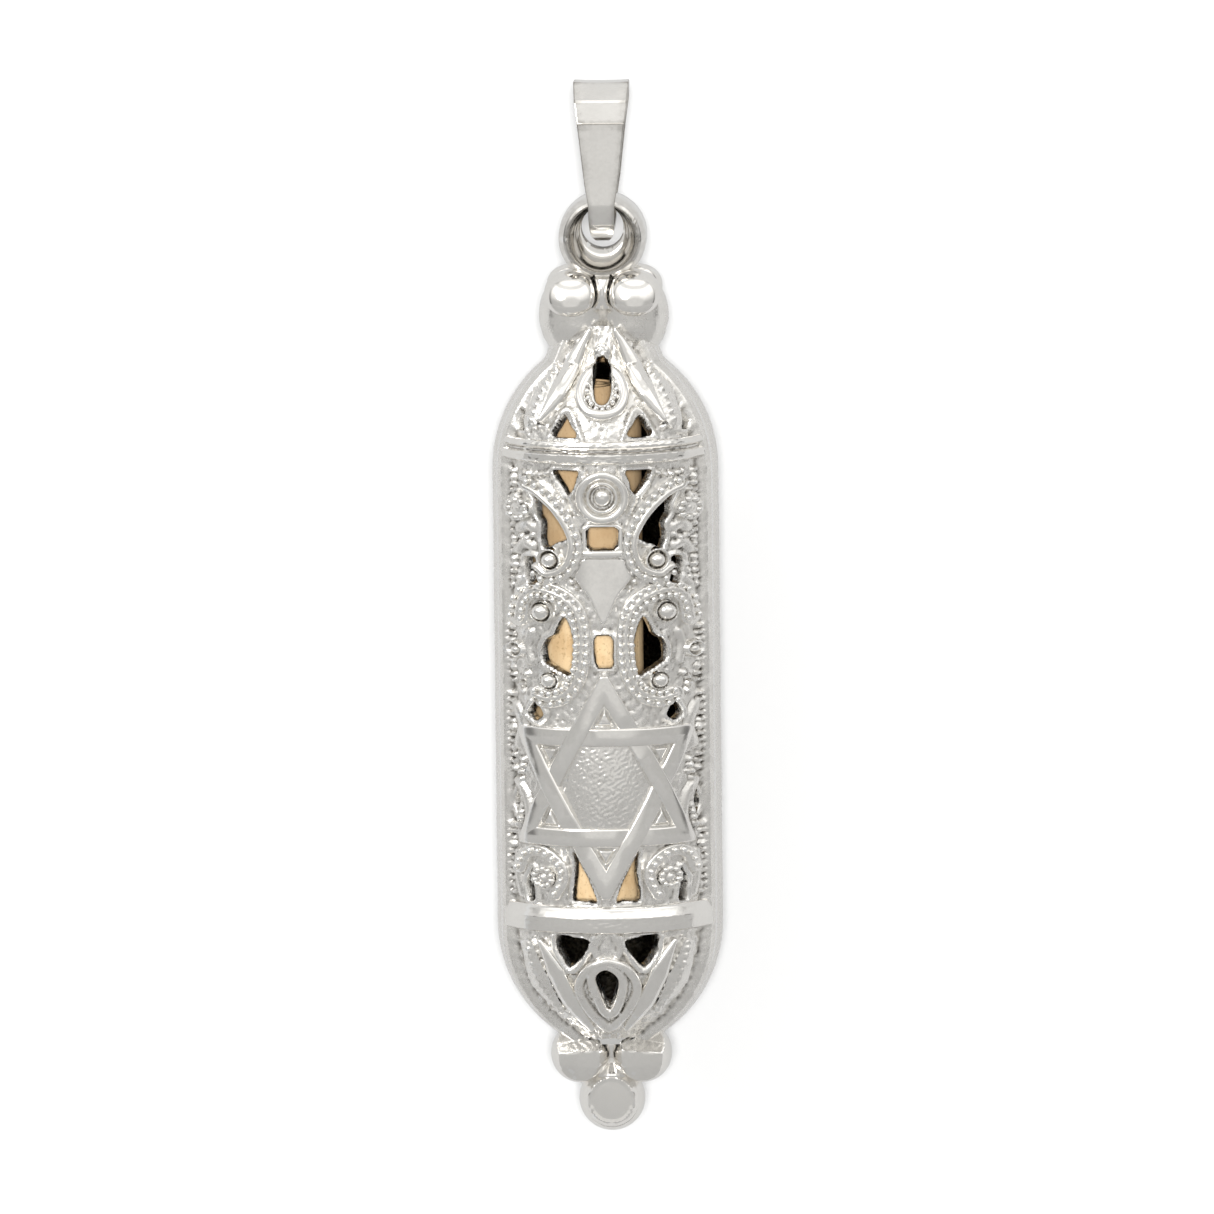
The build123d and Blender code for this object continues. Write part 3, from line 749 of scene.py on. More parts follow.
# ------------------------------------------------------------------ star and its plaque
up_low, up_high = node_box("star_triangle_up")
plain_radius = (up_high[2] - up_low[2]) / 1.5
star_x = (up_high[0] + up_low[0]) / 2
star_z = up_high[2] - plain_radius
star_growth = 1.1
star_radius = plain_radius * star_growth
strip_width = 0.95
line_reach = star_radius / 2 - strip_width / 2
crossing_reach = line_reach / math.cos(math.radians(30))


def on_star(x, z):
    """Place on the star laid flat, measured from its centre."""
    return case_radius * np.arcsin(np.clip((x - star_x) / case_radius, -1, 1)), z - star_z


def triangle_reach(x, z, way):
    """Distance of a place from the star's centre, measured square to the nearest side of a triangle."""
    x, z = on_star(x, z)
    return np.maximum(-z * way, 0.5 * z * way + math.cos(math.radians(30)) * np.abs(x))


def star_triangle(name, way, over_angles, under_angles):
    """One triangle of the star, raised where it passes over the other and sunk where it passes under."""
    def depth_at(x, z):
        depth = strip_width / 2 - np.abs(triangle_reach(x, z, way) - line_reach)
        return np.minimum(depth, star_radius - 0.35 - np.hypot(*on_star(x, z)))

    def lift_at(x, z, depth):
        flat_x, flat_z = on_star(x, z)
        across = (triangle_reach(x, z, way) - line_reach) / (strip_width / 2)
        lift = 0.05 + 0.03 * (1 - across**2) - edge_drop(depth, 0.1)
        for angles, rise, reach in ((over_angles, 0.035, 1.6), (under_angles, -0.11, 1.3)):
            for angle in angles:
                turn = math.radians(angle)
                gap = np.hypot(flat_x - crossing_reach * math.cos(turn),
                               flat_z - crossing_reach * math.sin(turn))
                lift = lift + rise * (1 - step_up(gap, reach * 0.3, reach))
        return lift + 0.004 * grain(x, z, 1.4, way)

    grid = patch(star_x - 5.05, star_x + 5.05, star_z - star_radius, star_z + star_radius, 0.045)
    return relief(name, *grid, depth_at, lift_at, [polished])


star_triangle("star_triangle_up_silver", 1, (120, 0, -120), (60, -60, 180))
star_triangle("star_triangle_down_silver", -1, (60, -60, 180), (120, 0, -120))


def star_plaque():
    """Stippled six-sided field and six small panels behind the star's strips."""
    inner_reach = line_reach - strip_width / 2 + 0.06
    outer_reach = line_reach + strip_width / 2 - 0.06

    def depths(x, z):
        up = triangle_reach(x, z, 1)
        down = triangle_reach(x, z, -1)
        hexagon = inner_reach - np.maximum(up, down)
        points = np.maximum(np.minimum(inner_reach - up, down - outer_reach),
                            np.minimum(inner_reach - down, up - outer_reach))
        return hexagon, points

    def depth_at(x, z):
        return np.maximum(*depths(x, z))

    def lift_at(x, z, depth):
        hexagon, points = depths(x, z)
        span = np.hypot(*on_star(x, z)) / inner_reach
        stipple = 0.016 * grain(x, z, 0.13, 9.0) + 0.014 * grain(z, x, 0.21, 11.0)
        middle = -0.2 + 0.16 * (1 - span**2) + stipple * step_up(hexagon, 0.05, 0.2)
        point = -0.26 + 0.2 * step_up(points, 0.12, 0.34) + 0.01 * grain(x, z, 0.3, 2.0)
        return np.where(hexagon > points, middle, point)

    return relief("star_plaque_silver", *patch_over("star_plaque", 0.05, 0.5), depth_at, lift_at, [ornament])


star_plaque()


# ------------------------------------------------------------------ round ornaments
def round_relief(node, profile, finish, beads=0):
    """Round ornament whose lift follows (share of its radius, lift) pairs, with beads round its rim."""
    low, high = node_box(node)
    middle_x, middle_z = (low[0] + high[0]) / 2, (low[2] + high[2]) / 2
    radius = (high[2] - low[2]) / 2
    shares, lifts = zip(*profile)

    def depth_at(x, z):
        return radius - np.hypot(x - middle_x, z - middle_z)

    def lift_at(x, z, depth):
        span = np.hypot(x - middle_x, z - middle_z) / radius
        lift = np.interp(span, shares, lifts)
        if beads:
            turn = np.arctan2(z - middle_z, x - middle_x)
            pitch = 2 * math.pi / beads
            offset = (np.mod(turn, pitch) - pitch / 2) * span
            gap = np.hypot(offset, span - 0.78) * radius
            lift = np.maximum(lift, 0.02 + 0.17 * hump(gap, 0.15))
        return lift + 0.008 * grain(x, z, 0.25, 6.0)

    return relief(f"{node}_silver", *patch_over(node, 0.04, 0.1), depth_at, lift_at, [finish])


def dome_profile(base, dome_share, dome_rise, rim_share, rim_rise, rim_half=0.15):
    """Rim, groove and central dome, sampled finely."""
    pairs = []
    for share in np.linspace(0, 1, 50):
        lift = base
        if share < dome_share:
            lift = base + dome_rise * math.sqrt(1 - (share / dome_share) ** 2)
        if abs(share - rim_share) < rim_half:
            lift = max(lift, base + rim_rise * math.sqrt(1 - ((share - rim_share) / rim_half) ** 2))
        if share > 0.9:
            lift = min(lift, base + 0.1 - (share - 0.9) * 1.4)
        pairs.append((share, lift))
    return pairs


boss_profiles = {
    "upper_boss": (dome_profile(-0.22, 0.58, 0.56, 0.82, 0.3), polished, 0),
    "outer_boss": (dome_profile(-0.2, 0.45, 0.3, 0.75, 0.2), ornament, 9),
    "middle_boss_high": (dome_profile(-0.22, 0.72, 0.58, 0.88, 0.22, 0.12), polished, 0),
    "middle_boss_low": (dome_profile(-0.22, 0.74, 0.54, 0.88, 0.18, 0.12), polished, 0),
    "lower_boss": (dome_profile(-0.2, 0.45, 0.36, 0.78, 0.12), polished, 10),
    "side_rosette": (dome_profile(-0.16, 0.42, 0.3, 0.76, 0.24), polished, 0),
}
for boss, (profile, finish, beads) in boss_profiles.items():
    for side in ("left", "right"):
        round_relief(f"{boss}_{side}", profile, finish, beads)
round_relief("top_rosette_button", dome_profile(-0.2, 0.5, 0.46, 0.8, 0.2, 0.13), polished)


def rosette_ring():
    """Round-topped ring about the top rosette's button."""
    low, high = node_box("top_rosette_ring")
    middle_z = (low[2] + high[2]) / 2
    outer = (high[2] - low[2]) / 2

    def depth_at(x, z):
        return 0.24 - np.abs(np.hypot(x, z - middle_z) - outer + 0.24)

    def lift_at(x, z, depth):
        return -0.2 + 0.34 * hump(0.24 - depth, 0.26)

    grid = patch_over("top_rosette_ring", 0.045)
    return relief("top_rosette_ring_silver", *grid, depth_at, lift_at, [polished])


rosette_ring()


# ------------------------------------------------------------------ frame, shield and bands
def flat_relief(node, outline, lift_at, finish, hole=None, cell=0.05):
    """Ornament bounded by a closed outline, less any hole."""
    def depth_at(x, z):
        depth = -outside(x, z, outline)
        if hole is not None:
            depth = np.minimum(depth, outside(x, z, hole))
        return depth

    return relief(f"{node}_silver", *patch_over(node, cell), depth_at, lift_at, [finish])


def window_frame():
    """Square frame round the square window, raised in a ridge along its foot."""
    low, high = node_box("window_frame")
    outline = rounded([(low[0], low[2] + 0.1), (0, low[2] - 0.12), (high[0], low[2] + 0.1),
                       (high[0], high[2]), (low[0], high[2])], 1)

    def lift_at(x, z, depth):
        ridge = 0.14 * hump(z - low[2] - 0.17, 0.22)
        return -0.02 + ridge - edge_drop(depth, 0.1) - 0.05 * step_up(z, -21.3, -20.9)

    flat_relief("window_frame", outline, lift_at, polished, square_hole)


def shield_plate():
    """Smooth pointed shield under the square frame."""
    low, high = node_box("shield_plate")
    outline = rounded([(-1.15, high[2]), (1.15, high[2]), (1.3, -23.35), (high[0], -23.8), (0.75, -24.85),
                       (0.22, -26.1), (0, low[2]), (-0.22, -26.1), (-0.75, -24.85), (low[0], -23.8),
                       (-1.3, -23.35)], 2)
    flat_relief("shield_plate", outline, lambda x, z, depth: -0.1 - edge_drop(depth, 0.07), polished)


window_frame()
shield_plate()


def band(node, from_top, from_foot, unevenness):
    """Band across the whole front; its lift is given as (distance from its top or its foot, lift) pairs."""
    low, high = node_box(node)
    profile = [(high[2] - down, lift) for down, lift in from_top]
    profile += [(low[2] + up, lift) for up, lift in from_foot]
    heights, lifts = zip(*sorted(profile))

    def depth_at(x, z):
        return np.minimum(np.minimum(z - low[2], high[2] - z), field_depth(x, z) + 0.1)

    def lift_at(x, z, depth):
        streak = unevenness * grain(x * 0.25, z, 0.09, 8.0)
        return np.interp(z, heights, lifts) + streak - edge_drop(depth, 0.05)

    return relief(f"{node}_silver", *patch_over(node, 0.05), depth_at, lift_at, [polished])


band("upper_band",
     [(0, -0.1), (0.1, 0.05), (0.32, 0.1), (0.38, 0.06), (0.5, -0.16), (0.6, -0.18), (0.74, 0.04),
      (0.8, 0.08), (0.95, 0.03), (1.1, 0.0)], [(0, -0.16)], 0.018)
band("lower_band",
     [(0, -0.22), (0.15, -0.1), (0.3, -0.04), (0.5, 0.06), (0.6, 0.12), (0.7, 0.11), (1.1, 0.1)],
     [(0.1, 0.08), (0, -0.05)], 0.004)


# ------------------------------------------------------------------ scrolls and their bead wires
def small_beads(node, sign, line, offsets, pitch, radius):
    """Row of real beads seated along a line beside a scroll's middle."""
    curve = smooth_line(line)
    step = np.diff(curve, axis=0)
    along = np.concatenate([[0], np.cumsum(np.hypot(*step.T))])
    count = int(along[-1] / pitch)
    rings = ball_grid(12, 9)
    seat_lift = 0.02
    parts = []
    for offset in offsets:
        for place in np.linspace(0.05, along[-1] - 0.05, count):
            x = np.interp(place, along, curve[:, 0])
            z = np.interp(place, along, curve[:, 1])
            before, after = place - 0.05, place + 0.05
            ahead_x = np.interp(after, along, curve[:, 0]) - np.interp(before, along, curve[:, 0])
            ahead_z = np.interp(after, along, curve[:, 1]) - np.interp(before, along, curve[:, 1])
            size = math.hypot(ahead_x, ahead_z)
            bx = x - offset * ahead_z / size
            bz = z + offset * ahead_x / size
            own = radius * (1 + 0.07 * math.sin(7.1 * bx + 3.3 * bz))
            centre = on_case(np.array([sign * bx]), np.array([bz]), seat_lift)[0]
            parts.append(skin_rings([ring * own + centre for ring in rings]))
    points, faces = joined(parts)
    return add_piece(f"{node}_silver", points, faces, [node], [polished])


scrolls = {
    "upper_scroll": (upper_curl, 0.78, (-0.2,), 0.42, 0.17),
    "middle_scroll": (middle_curl, 0.96, (-0.27, 0.3), 0.44, 0.165),
    "lower_scroll": (foot_curl, 0.66, (0.0,), 0.4, 0.17),
}


def scroll(name, sign, side, line, width):
    """Curled strip, cut back from the windows, with a ridge beside or along its middle."""
    curve = smooth_line(line) * (sign, 1)

    def depth_at(x, z):
        gap, _, _ = to_line(x, z, curve)
        depth = width / 2 - gap
        return np.minimum(depth, window_gap(x, z) - 0.02)

    def lift_at(x, z, depth):
        gap, along, turn_side = to_line(x, z, curve)
        across = gap * turn_side * sign
        lift = -0.1 - edge_drop(depth, 0.12) + 0.012 * grain(x, z, 0.2, 5.0)
        if name == "middle_scroll":
            lift = lift + 0.13 * hump(across - 0.02, 0.17) - 0.02
        elif name == "upper_scroll":
            lift = np.maximum(lift, -0.12 + 0.24 * hump(across - 0.14, 0.2))
        else:
            lift = lift + 0.05 * hump(across, 0.3)
        return lift

    return relief(f"{name}_{side}_silver", *patch_over(f"{name}_{side}", 0.05), depth_at, lift_at, [ornament])


for name, (line, width, bead_offsets, pitch, radius) in scrolls.items():
    for side, sign in (("left", -1), ("right", 1)):
        scroll(name, sign, side, line, width)
        small_beads(f"{name}_beads_{side}", sign, line, bead_offsets, pitch, radius)


# ------------------------------------------------------------------ drops and leaves on the domes
def crown_drop():
    """Drop-shaped bezel on the upper dome: raised rim, bead row and a rough petal above the hole."""
    low, high = node_box("crown_drop_bezel")
    outline = smooth_line([(0, high[2]), (0.62, -12.2), (1.15, -13.1), (1.5, -14.2), (1.2, -15.05), (0, low[2]),
                           (-1.2, -15.05), (-1.5, -14.2), (-1.15, -13.1), (-0.62, -12.2)], closed=True)
    rim = smooth_line([(0, -12.9), (0.75, -13.15), (1.18, -14.1), (0.85, -14.95), (0, -15.2),
                       (-0.85, -14.95), (-1.18, -14.1), (-0.75, -13.15)], closed=True)
    beads = smooth_line([(0.5, -12.75), (0.72, -13.4), (0.74, -14.2), (0.42, -14.75), (0, -14.9),
                         (-0.42, -14.75), (-0.74, -14.2), (-0.72, -13.4), (-0.5, -12.75)])

    def lift_at(x, z, depth):
        gap, _, _ = to_line(x, z, np.concatenate([rim, rim[:1]]))
        lift = -0.24 + 0.36 * hump(gap, 0.32)
        bead_gap, along, _ = to_line(x, z, beads)
        lift = np.maximum(lift, -0.22 + 0.26 * bead_humps(bead_gap, along, 0.34, 0.16))
        petal = np.hypot(x / 0.52, (z + 12.0) / 0.85)
        rough = 0.04 * grain(x, z, 0.13, 3.0)
        lift = np.maximum(lift, np.where(petal < 1, -0.22 + 0.52 * hump(petal, 1.0) + rough, -1))
        return lift - edge_drop(depth, 0.1)

    flat_relief("crown_drop_bezel", outline, lift_at, polished, crown_drop_hole, 0.045)


def foot_drop():
    """Drop-shaped bezel on the lower dome: raised rim and a bead row round the hole."""
    low, high = node_box("foot_drop_bezel")
    outline = smooth_line([(0, high[2]), (1.05, -44.55), (1.72, -45.4), (1.75, -46.4), (1.05, -47.7), (0, low[2]),
                           (-1.05, -47.7), (-1.75, -46.4), (-1.72, -45.4), (-1.05, -44.55)], closed=True)
    beads = smooth_line([(0, -44.6), (0.7, -44.95), (0.95, -45.8), (0.75, -46.7), (0.1, -47.7), (-0.75, -46.7),
                         (-0.95, -45.8), (-0.7, -44.95)], closed=True)

    def lift_at(x, z, depth):
        lift = -0.2 + 0.3 * hump(depth - 0.26, 0.28) + 0.01 * grain(x, z, 0.3, 2.0)
        gap, along, _ = to_line(x, z, np.concatenate([beads, beads[:1]]))
        lift = np.maximum(lift, -0.18 + 0.16 * bead_humps(gap, along, 0.36, 0.17))
        return lift - edge_drop(depth, 0.08)

    flat_relief("foot_drop_bezel", outline, lift_at, ornament, foot_drop_hole, 0.045)


def leaf(name, side, sign, line, widths, ridge, rise, finish, bead_pitch=0.0):
    """Leaf whose width runs through the given values, ridged or beaded along its middle."""
    curve = smooth_line(line) * (sign, 1)
    reach = np.hypot(*np.diff(curve, axis=0).T).sum()
    places = np.linspace(0, reach, len(widths))

    def depth_at(x, z):
        gap, along, _ = to_line(x, z, curve)
        return np.minimum(np.interp(along, places, widths) / 2 - gap, window_gap(x, z) - 0.03)

    def lift_at(x, z, depth):
        gap, along, turn_side = to_line(x, z, curve)
        half = np.interp(along, places, widths) / 2
        across = gap * turn_side * sign / np.maximum(half, 0.05)
        lift = -0.2 + rise * hump(across - ridge, 1.0 + abs(ridge)) - edge_drop(depth, 0.1)
        if bead_pitch:
            lift = np.maximum(lift, -0.1 + 0.22 * bead_humps(gap, along, bead_pitch, 0.2))
            lift = lift + 0.02 * grain(x, z, 0.16, 4.0)
        return lift + 0.008 * grain(x, z, 0.4, 2.0)

    grid = patch(*sorted((sign * curve_side for curve_side in (min(p[0] for p in line) - 0.7,
                                                               max(p[0] for p in line) + 0.7))),
                 min(p[1] for p in line) - 0.5, max(p[1] for p in line) + 0.5, 0.05)
    relief(f"{name}_{side}_silver", *grid, depth_at, lift_at, [finish])


crown_drop()
foot_drop()
leaves = {
    "crown_leaf": ([(0.62, -11.1), (1.3, -12.3), (2.05, -13.7), (3.2, -15.6)], (0.35, 0.75, 0.8, 0.25), 0.2, 0.42,
                   polished, 0.0),
    "foot_leaf": ([(3.55, -43.4), (2.75, -45.2), (2.0, -46.8), (0.95, -48.3)], (0.3, 1.0, 0.95, 0.4), -0.2, 0.34,
                  polished, 0.0),
    "crown_side_drop": ([(2.35, -12.8), (3.1, -13.9), (3.85, -15.7)], (0.3, 1.0, 0.7), 0.0, 0.2, ornament, 0.42),
    "foot_side_drop": ([(4.3, -43.7), (3.7, -45.6), (2.5, -47.4)], (0.6, 1.1, 0.3), 0.0, 0.22, ornament, 0.42),
}
for name, values in leaves.items():
    for side, sign in (("left", -1), ("right", 1)):
        leaf(name, side, sign, *values)


# ------------------------------------------------------------------ balls and posts
def crown_lobe(side, sign):
    """Ball stretched upward, with a shallow cast groove round its side."""
    middle = np.array([sign * 1.45, 0, -10.45])
    half_sizes = (2.0, 2.0, 2.45)
    rings = []
    for ring in ball_grid(72, 48):
        x, y, z = ring.T
        groove = 0.025 * hump(z + 0.3 + 0.25 * y, 0.12) + 0.02 * hump(z - 0.62, 0.1)
        size = 1 - groove * 0.5 + 0.006 * grain(x * 3, z * 3 + y, 0.5, sign)
        rings.append(ring * size[:, None] * half_sizes + middle)
    add_piece(f"crown_lobe_{side}_silver", *skin_rings(rings), [f"crown_lobe_{side}"], [ornament])


def crown_bead(place, facing, side, sign):
    """Polished bead, a little fuller than an egg, whose outer face leans upward."""
    node = f"crown_bead_{place}_{side}"
    middle = np.array([sign * 1.7, facing * 1.9, -9.1])
    half_sizes, fullness, lean = (1.38, 1.08, 1.2), 2.15, 0.42
    rings = []
    for ring in ball_grid(72, 44):
        x, y, z = ring.T
        size = 1 / (np.abs(x) ** fullness + np.abs(y) ** fullness + np.abs(z) ** fullness) ** (1 / fullness)
        swell = ring * size[:, None] * half_sizes
        swell[:, 1] -= facing * lean * swell[:, 2]
        rings.append(swell + middle)
    add_piece(f"{node}_silver", *skin_rings(rings), [node], [polished])


def foot_lobe(side, sign):
    """Ball stretched forward, with a flat ground on its front and a bevel above and below the flat."""
    middle = np.array([sign * 1.63, -0.5, -50.0])
    half_sizes = (1.6, 2.1, 1.6)
    cuts = (((0.05 * sign, -1.0, -0.04), 1.53), ((0.1 * sign, -0.766, 0.643), 1.33),
            ((0.05 * sign, -0.82, -0.57), 1.58))
    rings = []
    for ring in ball_grid(88, 60):
        points = ring * half_sizes
        for normal, reach in cuts:
            normal = np.array(normal) / np.linalg.norm(normal)
            over = np.maximum(points @ normal - reach, 0)
            points = points - over[:, None] * normal * 0.97
        rings.append(points + middle)
    add_piece(f"foot_lobe_{side}_silver", *skin_rings(rings), [f"foot_lobe_{side}"], [polished], crease=24)


def foot_ball():
    """Ball with a round flat ground on its front and a thin raised rim round the flat."""
    low, _ = node_box("foot_ball")
    ball_radius = 1.76
    middle = np.array([0, 0, low[2] + ball_radius])
    reach = -low[1]
    rings = []
    for ring in ball_grid(96, 72):
        points = ring * ball_radius
        over = np.maximum(-points[:, 1] - reach, 0)
        from_middle = np.hypot(points[:, 0], points[:, 2])
        points[:, 1] += over * 0.98
        points[:, 1] -= 0.03 * hump(from_middle - 1.2, 0.1) * (points[:, 1] < -1.0)
        points[:, 1] += 0.04 * hump(from_middle - 1.42, 0.06) * (points[:, 1] < -0.6)
        rings.append(points + middle)
    add_piece("foot_ball_silver", *skin_rings(rings), ["foot_ball"], [polished], crease=24)


def post(node, profile):
    """Points and faces of a turned post; its profile is (radius, share of its height) pairs, foot first."""
    low, high = node_box(node)
    count = 64
    turns = np.linspace(0, 2 * math.pi, count, endpoint=False)
    rings = []
    for radius, share in profile:
        z = low[2] + share * (high[2] - low[2])
        rings.append(np.stack([radius * np.cos(turns), radius * np.sin(turns), np.full(count, z)], 1))
    return skin_rings(rings)


def crown_post():
    """Post under the ring, with the small bright fillet that shows between the two front beads."""
    body = post("crown_post", [(1.2, 0.0), (1.25, 0.1), (1.1, 0.3), (1.02, 0.55), (1.12, 0.8),
                               (1.25, 0.95), (1.15, 1.0)])
    rings = []
    for share in np.linspace(0, 1, 14):
        z = -8.35 - 1.55 * share
        half = 0.42 - 0.2 * math.sin(share * math.pi) + 0.1 * share
        turns = np.linspace(0, 2 * math.pi, 24, endpoint=False)
        rings.append(np.stack([half * np.cos(turns), -1.55 - 0.5 * np.sin(math.pi * (0.15 + 0.7 * share))
                               + 0.42 * np.sin(turns), np.full(24, z)], 1)[::-1])
    add_piece("crown_post_silver", *joined([body, skin_rings(rings)]), ["crown_post"], [polished])


def foot_post():
    """Post between the foot lobes, with the collar above the ball and the flange in the case's foot."""
    profile = [(0.9, 0.0), (1.15, 0.06), (1.3, 0.2), (1.15, 0.34), (0.88, 0.45), (0.8, 0.6), (0.86, 0.75),
               (1.0, 0.9), (0.95, 0.99), (1.8, 1.0), (1.8, 1.22)]
    add_piece("foot_post_silver", *post("foot_post", profile), ["foot_post"], [polished])


for side, sign in (("left", -1), ("right", 1)):
    crown_lobe(side, sign)
    crown_bead("front", -1, side, sign)
    crown_bead("back", 1, side, sign)
    foot_lobe(side, sign)
foot_ball()
crown_post()
foot_post()


# ------------------------------------------------------------------ hanging ring and bail
def hanging_ring():
    """Thick ring with a ridge and a bowl sunk in each face; its throat is high, its bowl shallower below."""
    low, high = node_box("hanging_ring")
    radius = (high[0] - low[0]) / 2
    ring_z = high[2] - radius
    depth = high[1]
    throat_z = ring_z + 0.5
    section = [(ring_z, radius, 0.0), (ring_z, radius, 0.6), (ring_z, radius - 0.01, 1.1),
               (ring_z, radius - 0.08, 1.35), (ring_z, radius - 0.2, 1.55), (ring_z, radius - 0.33, 1.68),
               (ring_z, radius - 0.42, depth - 0.01),
               (ring_z + 0.02, radius - 0.5, depth - 0.03), (ring_z + 0.03, radius - 0.56, depth - 0.12)]
    section = [(centre, size, y, 0.0) for centre, size, y in section]
    for share in np.linspace(0.04, 1, 16):
        bend = math.sin(share * math.pi / 2)
        section.append((ring_z + 0.03 + (throat_z - ring_z - 0.03) * share**1.4,
                        radius - 0.56 + (1.12 - radius + 0.56) * share**1.5,
                        depth - 0.12 - (depth - 0.24) * bend, 0.3 * bend))
    whole = [(*row, 1) for row in section] + [(*row, -1) for row in reversed(section)][:-1]
    turns = np.linspace(0, 2 * math.pi, 128, endpoint=False)
    low_side = 0.5 - 0.5 * np.cos(turns)
    rings = []
    for centre, size, y, shallower, face in whole:
        wave = 0.006 * np.sin(3 * turns + 2 * y * face)
        rings.append(np.stack([(size + wave) * np.sin(turns), -face * (y + shallower * low_side**1.5),
                               centre + (size + wave) * np.cos(turns)], 1))
    points, faces = skin_rings(rings + [rings[0]], closed_ends=False)
    count = len(points) - 128
    faces = [[index if index < count else index - count for index in face] for face in faces]
    add_piece("hanging_ring_silver", points[:count], faces, ["hanging_ring"], [polished])


def bail():
    """Flat strip bent round in a closed loop, faceted at the crown and wider towards the top."""
    _, high = node_box("bail_strip")
    loop_z, outer_turn, inner_turn, bore, leg_height = -4.3, 2.2, 1.85, 1.6, 4.1
    width_heights = [-6.33, -6.27, -6.12, -5.85, -5.4, -4.4, -3.2, -0.2, 0.9, 2.1]
    half_widths = [0.24, 0.38, 0.52, 0.63, 0.68, 0.71, 0.9, 1.24, 1.4, 1.5]
    crown = np.array([(-2.12, 0), (-1.74, 1.06), (-0.65, high[2]), (0.65, high[2]), (1.74, 1.06), (2.12, 0)])
    stations = []
    for turn in np.linspace(-90, 0, 22):
        a = math.radians(turn)
        stations.append(((-outer_turn * math.cos(a), loop_z + outer_turn * math.sin(a)),
                         (-inner_turn * math.cos(a), loop_z + inner_turn * math.sin(a))))
    for share in np.linspace(0, 1, 26)[1:-1]:
        z = loop_z + share * leg_height
        stations.append(((-outer_turn + 0.08 * share, z), (-inner_turn + 0.25 * share, z)))
    stations += [((-2.12, -0.12), (-1.6, -0.1)), ((-2.04, -0.06), (-1.6, -0.05))]
    crown_turns = np.degrees(np.arctan2(crown[:, 1], crown[:, 0])) % 360
    for turn in np.linspace(180, 0, 61):
        a = math.radians(turn)
        direction = np.array([math.cos(a), math.sin(a)])
        best = 2.03
        for p, q in zip(crown[:-1], crown[1:]):
            edge = q - p
            cross = direction[0] * edge[1] - direction[1] * edge[0]
            if abs(cross) < 1e-9:
                continue
            reach = (p[0] * edge[1] - p[1] * edge[0]) / cross
            share = (p[0] * direction[1] - p[1] * direction[0]) / cross
            if -1e-6 <= share <= 1 + 1e-6 and reach > 0:
                best = reach
        stations.append((tuple(direction * best), tuple(direction * bore)))
    back = [((-o[0], o[1]), (-i[0], i[1])) for o, i in stations[1:48]]
    stations = stations + back[::-1]
    rows = []
    for (oy, oz), (iy, iz) in stations:
        half = np.interp((oz + iz) / 2, width_heights, half_widths)
        wall = math.hypot(oy - iy, oz - iz)
        row = []
        for across in (-1, -0.985, -0.94, -0.6, 0, 0.6, 0.94, 0.985, 1):
            drop = 0.06 * (1 if abs(across) == 1 else 0.3 if abs(across) > 0.95 else 0.0)
            flare = 0.05 * across**2 * step_up(np.array(oz), 1.0, 2.0)
            share = drop / wall
            row.append((across * half, oy + (iy - oy) * share, oz + (iz - oz) * share + flare))
        for across in (1, 0.97, 0.5, -0.5, -0.97, -1):
            drop = 0.05 * (abs(across) == 1)
            share = 1 - drop / wall
            row.append((across * half, oy + (iy - oy) * share, oz + (iz - oz) * share))
        rows.append(np.array(row)[::-1])
    points, faces = skin_rings(rows + [rows[0]], closed_ends=False)
    count = len(points) - len(rows[0])
    faces = [[index if index < count else index - count for index in face] for face in faces]
    add_piece("bail_strip_silver", points[:count], faces, ["bail_strip"], [polished], crease=14)


hanging_ring()
bail()


# ------------------------------------------------------------------ parchment
def parchment_roll():
    """Sheet rolled up in a spiral, its inner turns standing a little higher than its outer ones."""
    low, high = node_box("parchment_scroll")
    middle_x, middle_y = (low[0] + high[0]) / 2, (low[1] + high[1]) / 2
    outer = (high[0] - low[0]) / 2 - 0.03
    rounds, thickness, inner, inner_rise = 8.5, 0.16, 1.0, 1.55
    steps = int(rounds * 56)
    along = np.linspace(0, 1, steps)
    turn = -along * rounds * 2 * math.pi - 0.9
    radius = inner + (outer - inner) * along
    radius = radius + 0.012 * np.sin(turn * 2.3) * np.minimum(1, (1 - along) * 6)
    top = high[2] - inner_rise * step_up(radius, 1.7, 2.1)
    top = top - 0.12 * np.abs(np.sin(turn * 0.37)) - 0.02
    bottom = low[2] + 0.1 * np.abs(np.sin(turn * 0.29))
    shares = np.concatenate([[0, 0.004], np.linspace(0.03, 0.97, 22), [0.996, 1]])
    points, faces = [], []
    for face_radius in (radius, radius - thickness):
        for share in shares:
            z = bottom + (top - bottom) * share
            ripple = 0.02 * np.sin(share * 21 + turn * 0.5) * np.minimum(1, (1 - along) * 8 + 0.3)
            reach = np.minimum(face_radius + ripple * 0.5, outer)
            points.append(np.stack([middle_x + reach * np.cos(turn), middle_y + reach * np.sin(turn), z], 1))
    rows = len(shares)
    back = rows * steps
    for row in range(rows - 1):
        for k in range(steps - 1):
            a = row * steps + k
            faces.append([a, a + steps, a + steps + 1, a + 1])
            faces.append([back + a, back + a + 1, back + a + steps + 1, back + a + steps])
        for k, flip in ((0, False), (steps - 1, True)):
            a = row * steps + k
            edge = [a, back + a, back + a + steps, a + steps]
            faces.append(edge[::-1] if flip else edge)
    for row, flip in ((0, True), (rows - 1, False)):
        for k in range(steps - 1):
            a = row * steps + k
            edge = [a, back + a, back + a + 1, a + 1]
            faces.append(edge[::-1] if flip else edge)
    add_piece("parchment_roll", np.concatenate(points), faces, ["parchment_scroll"], [parchment])


parchment_roll()


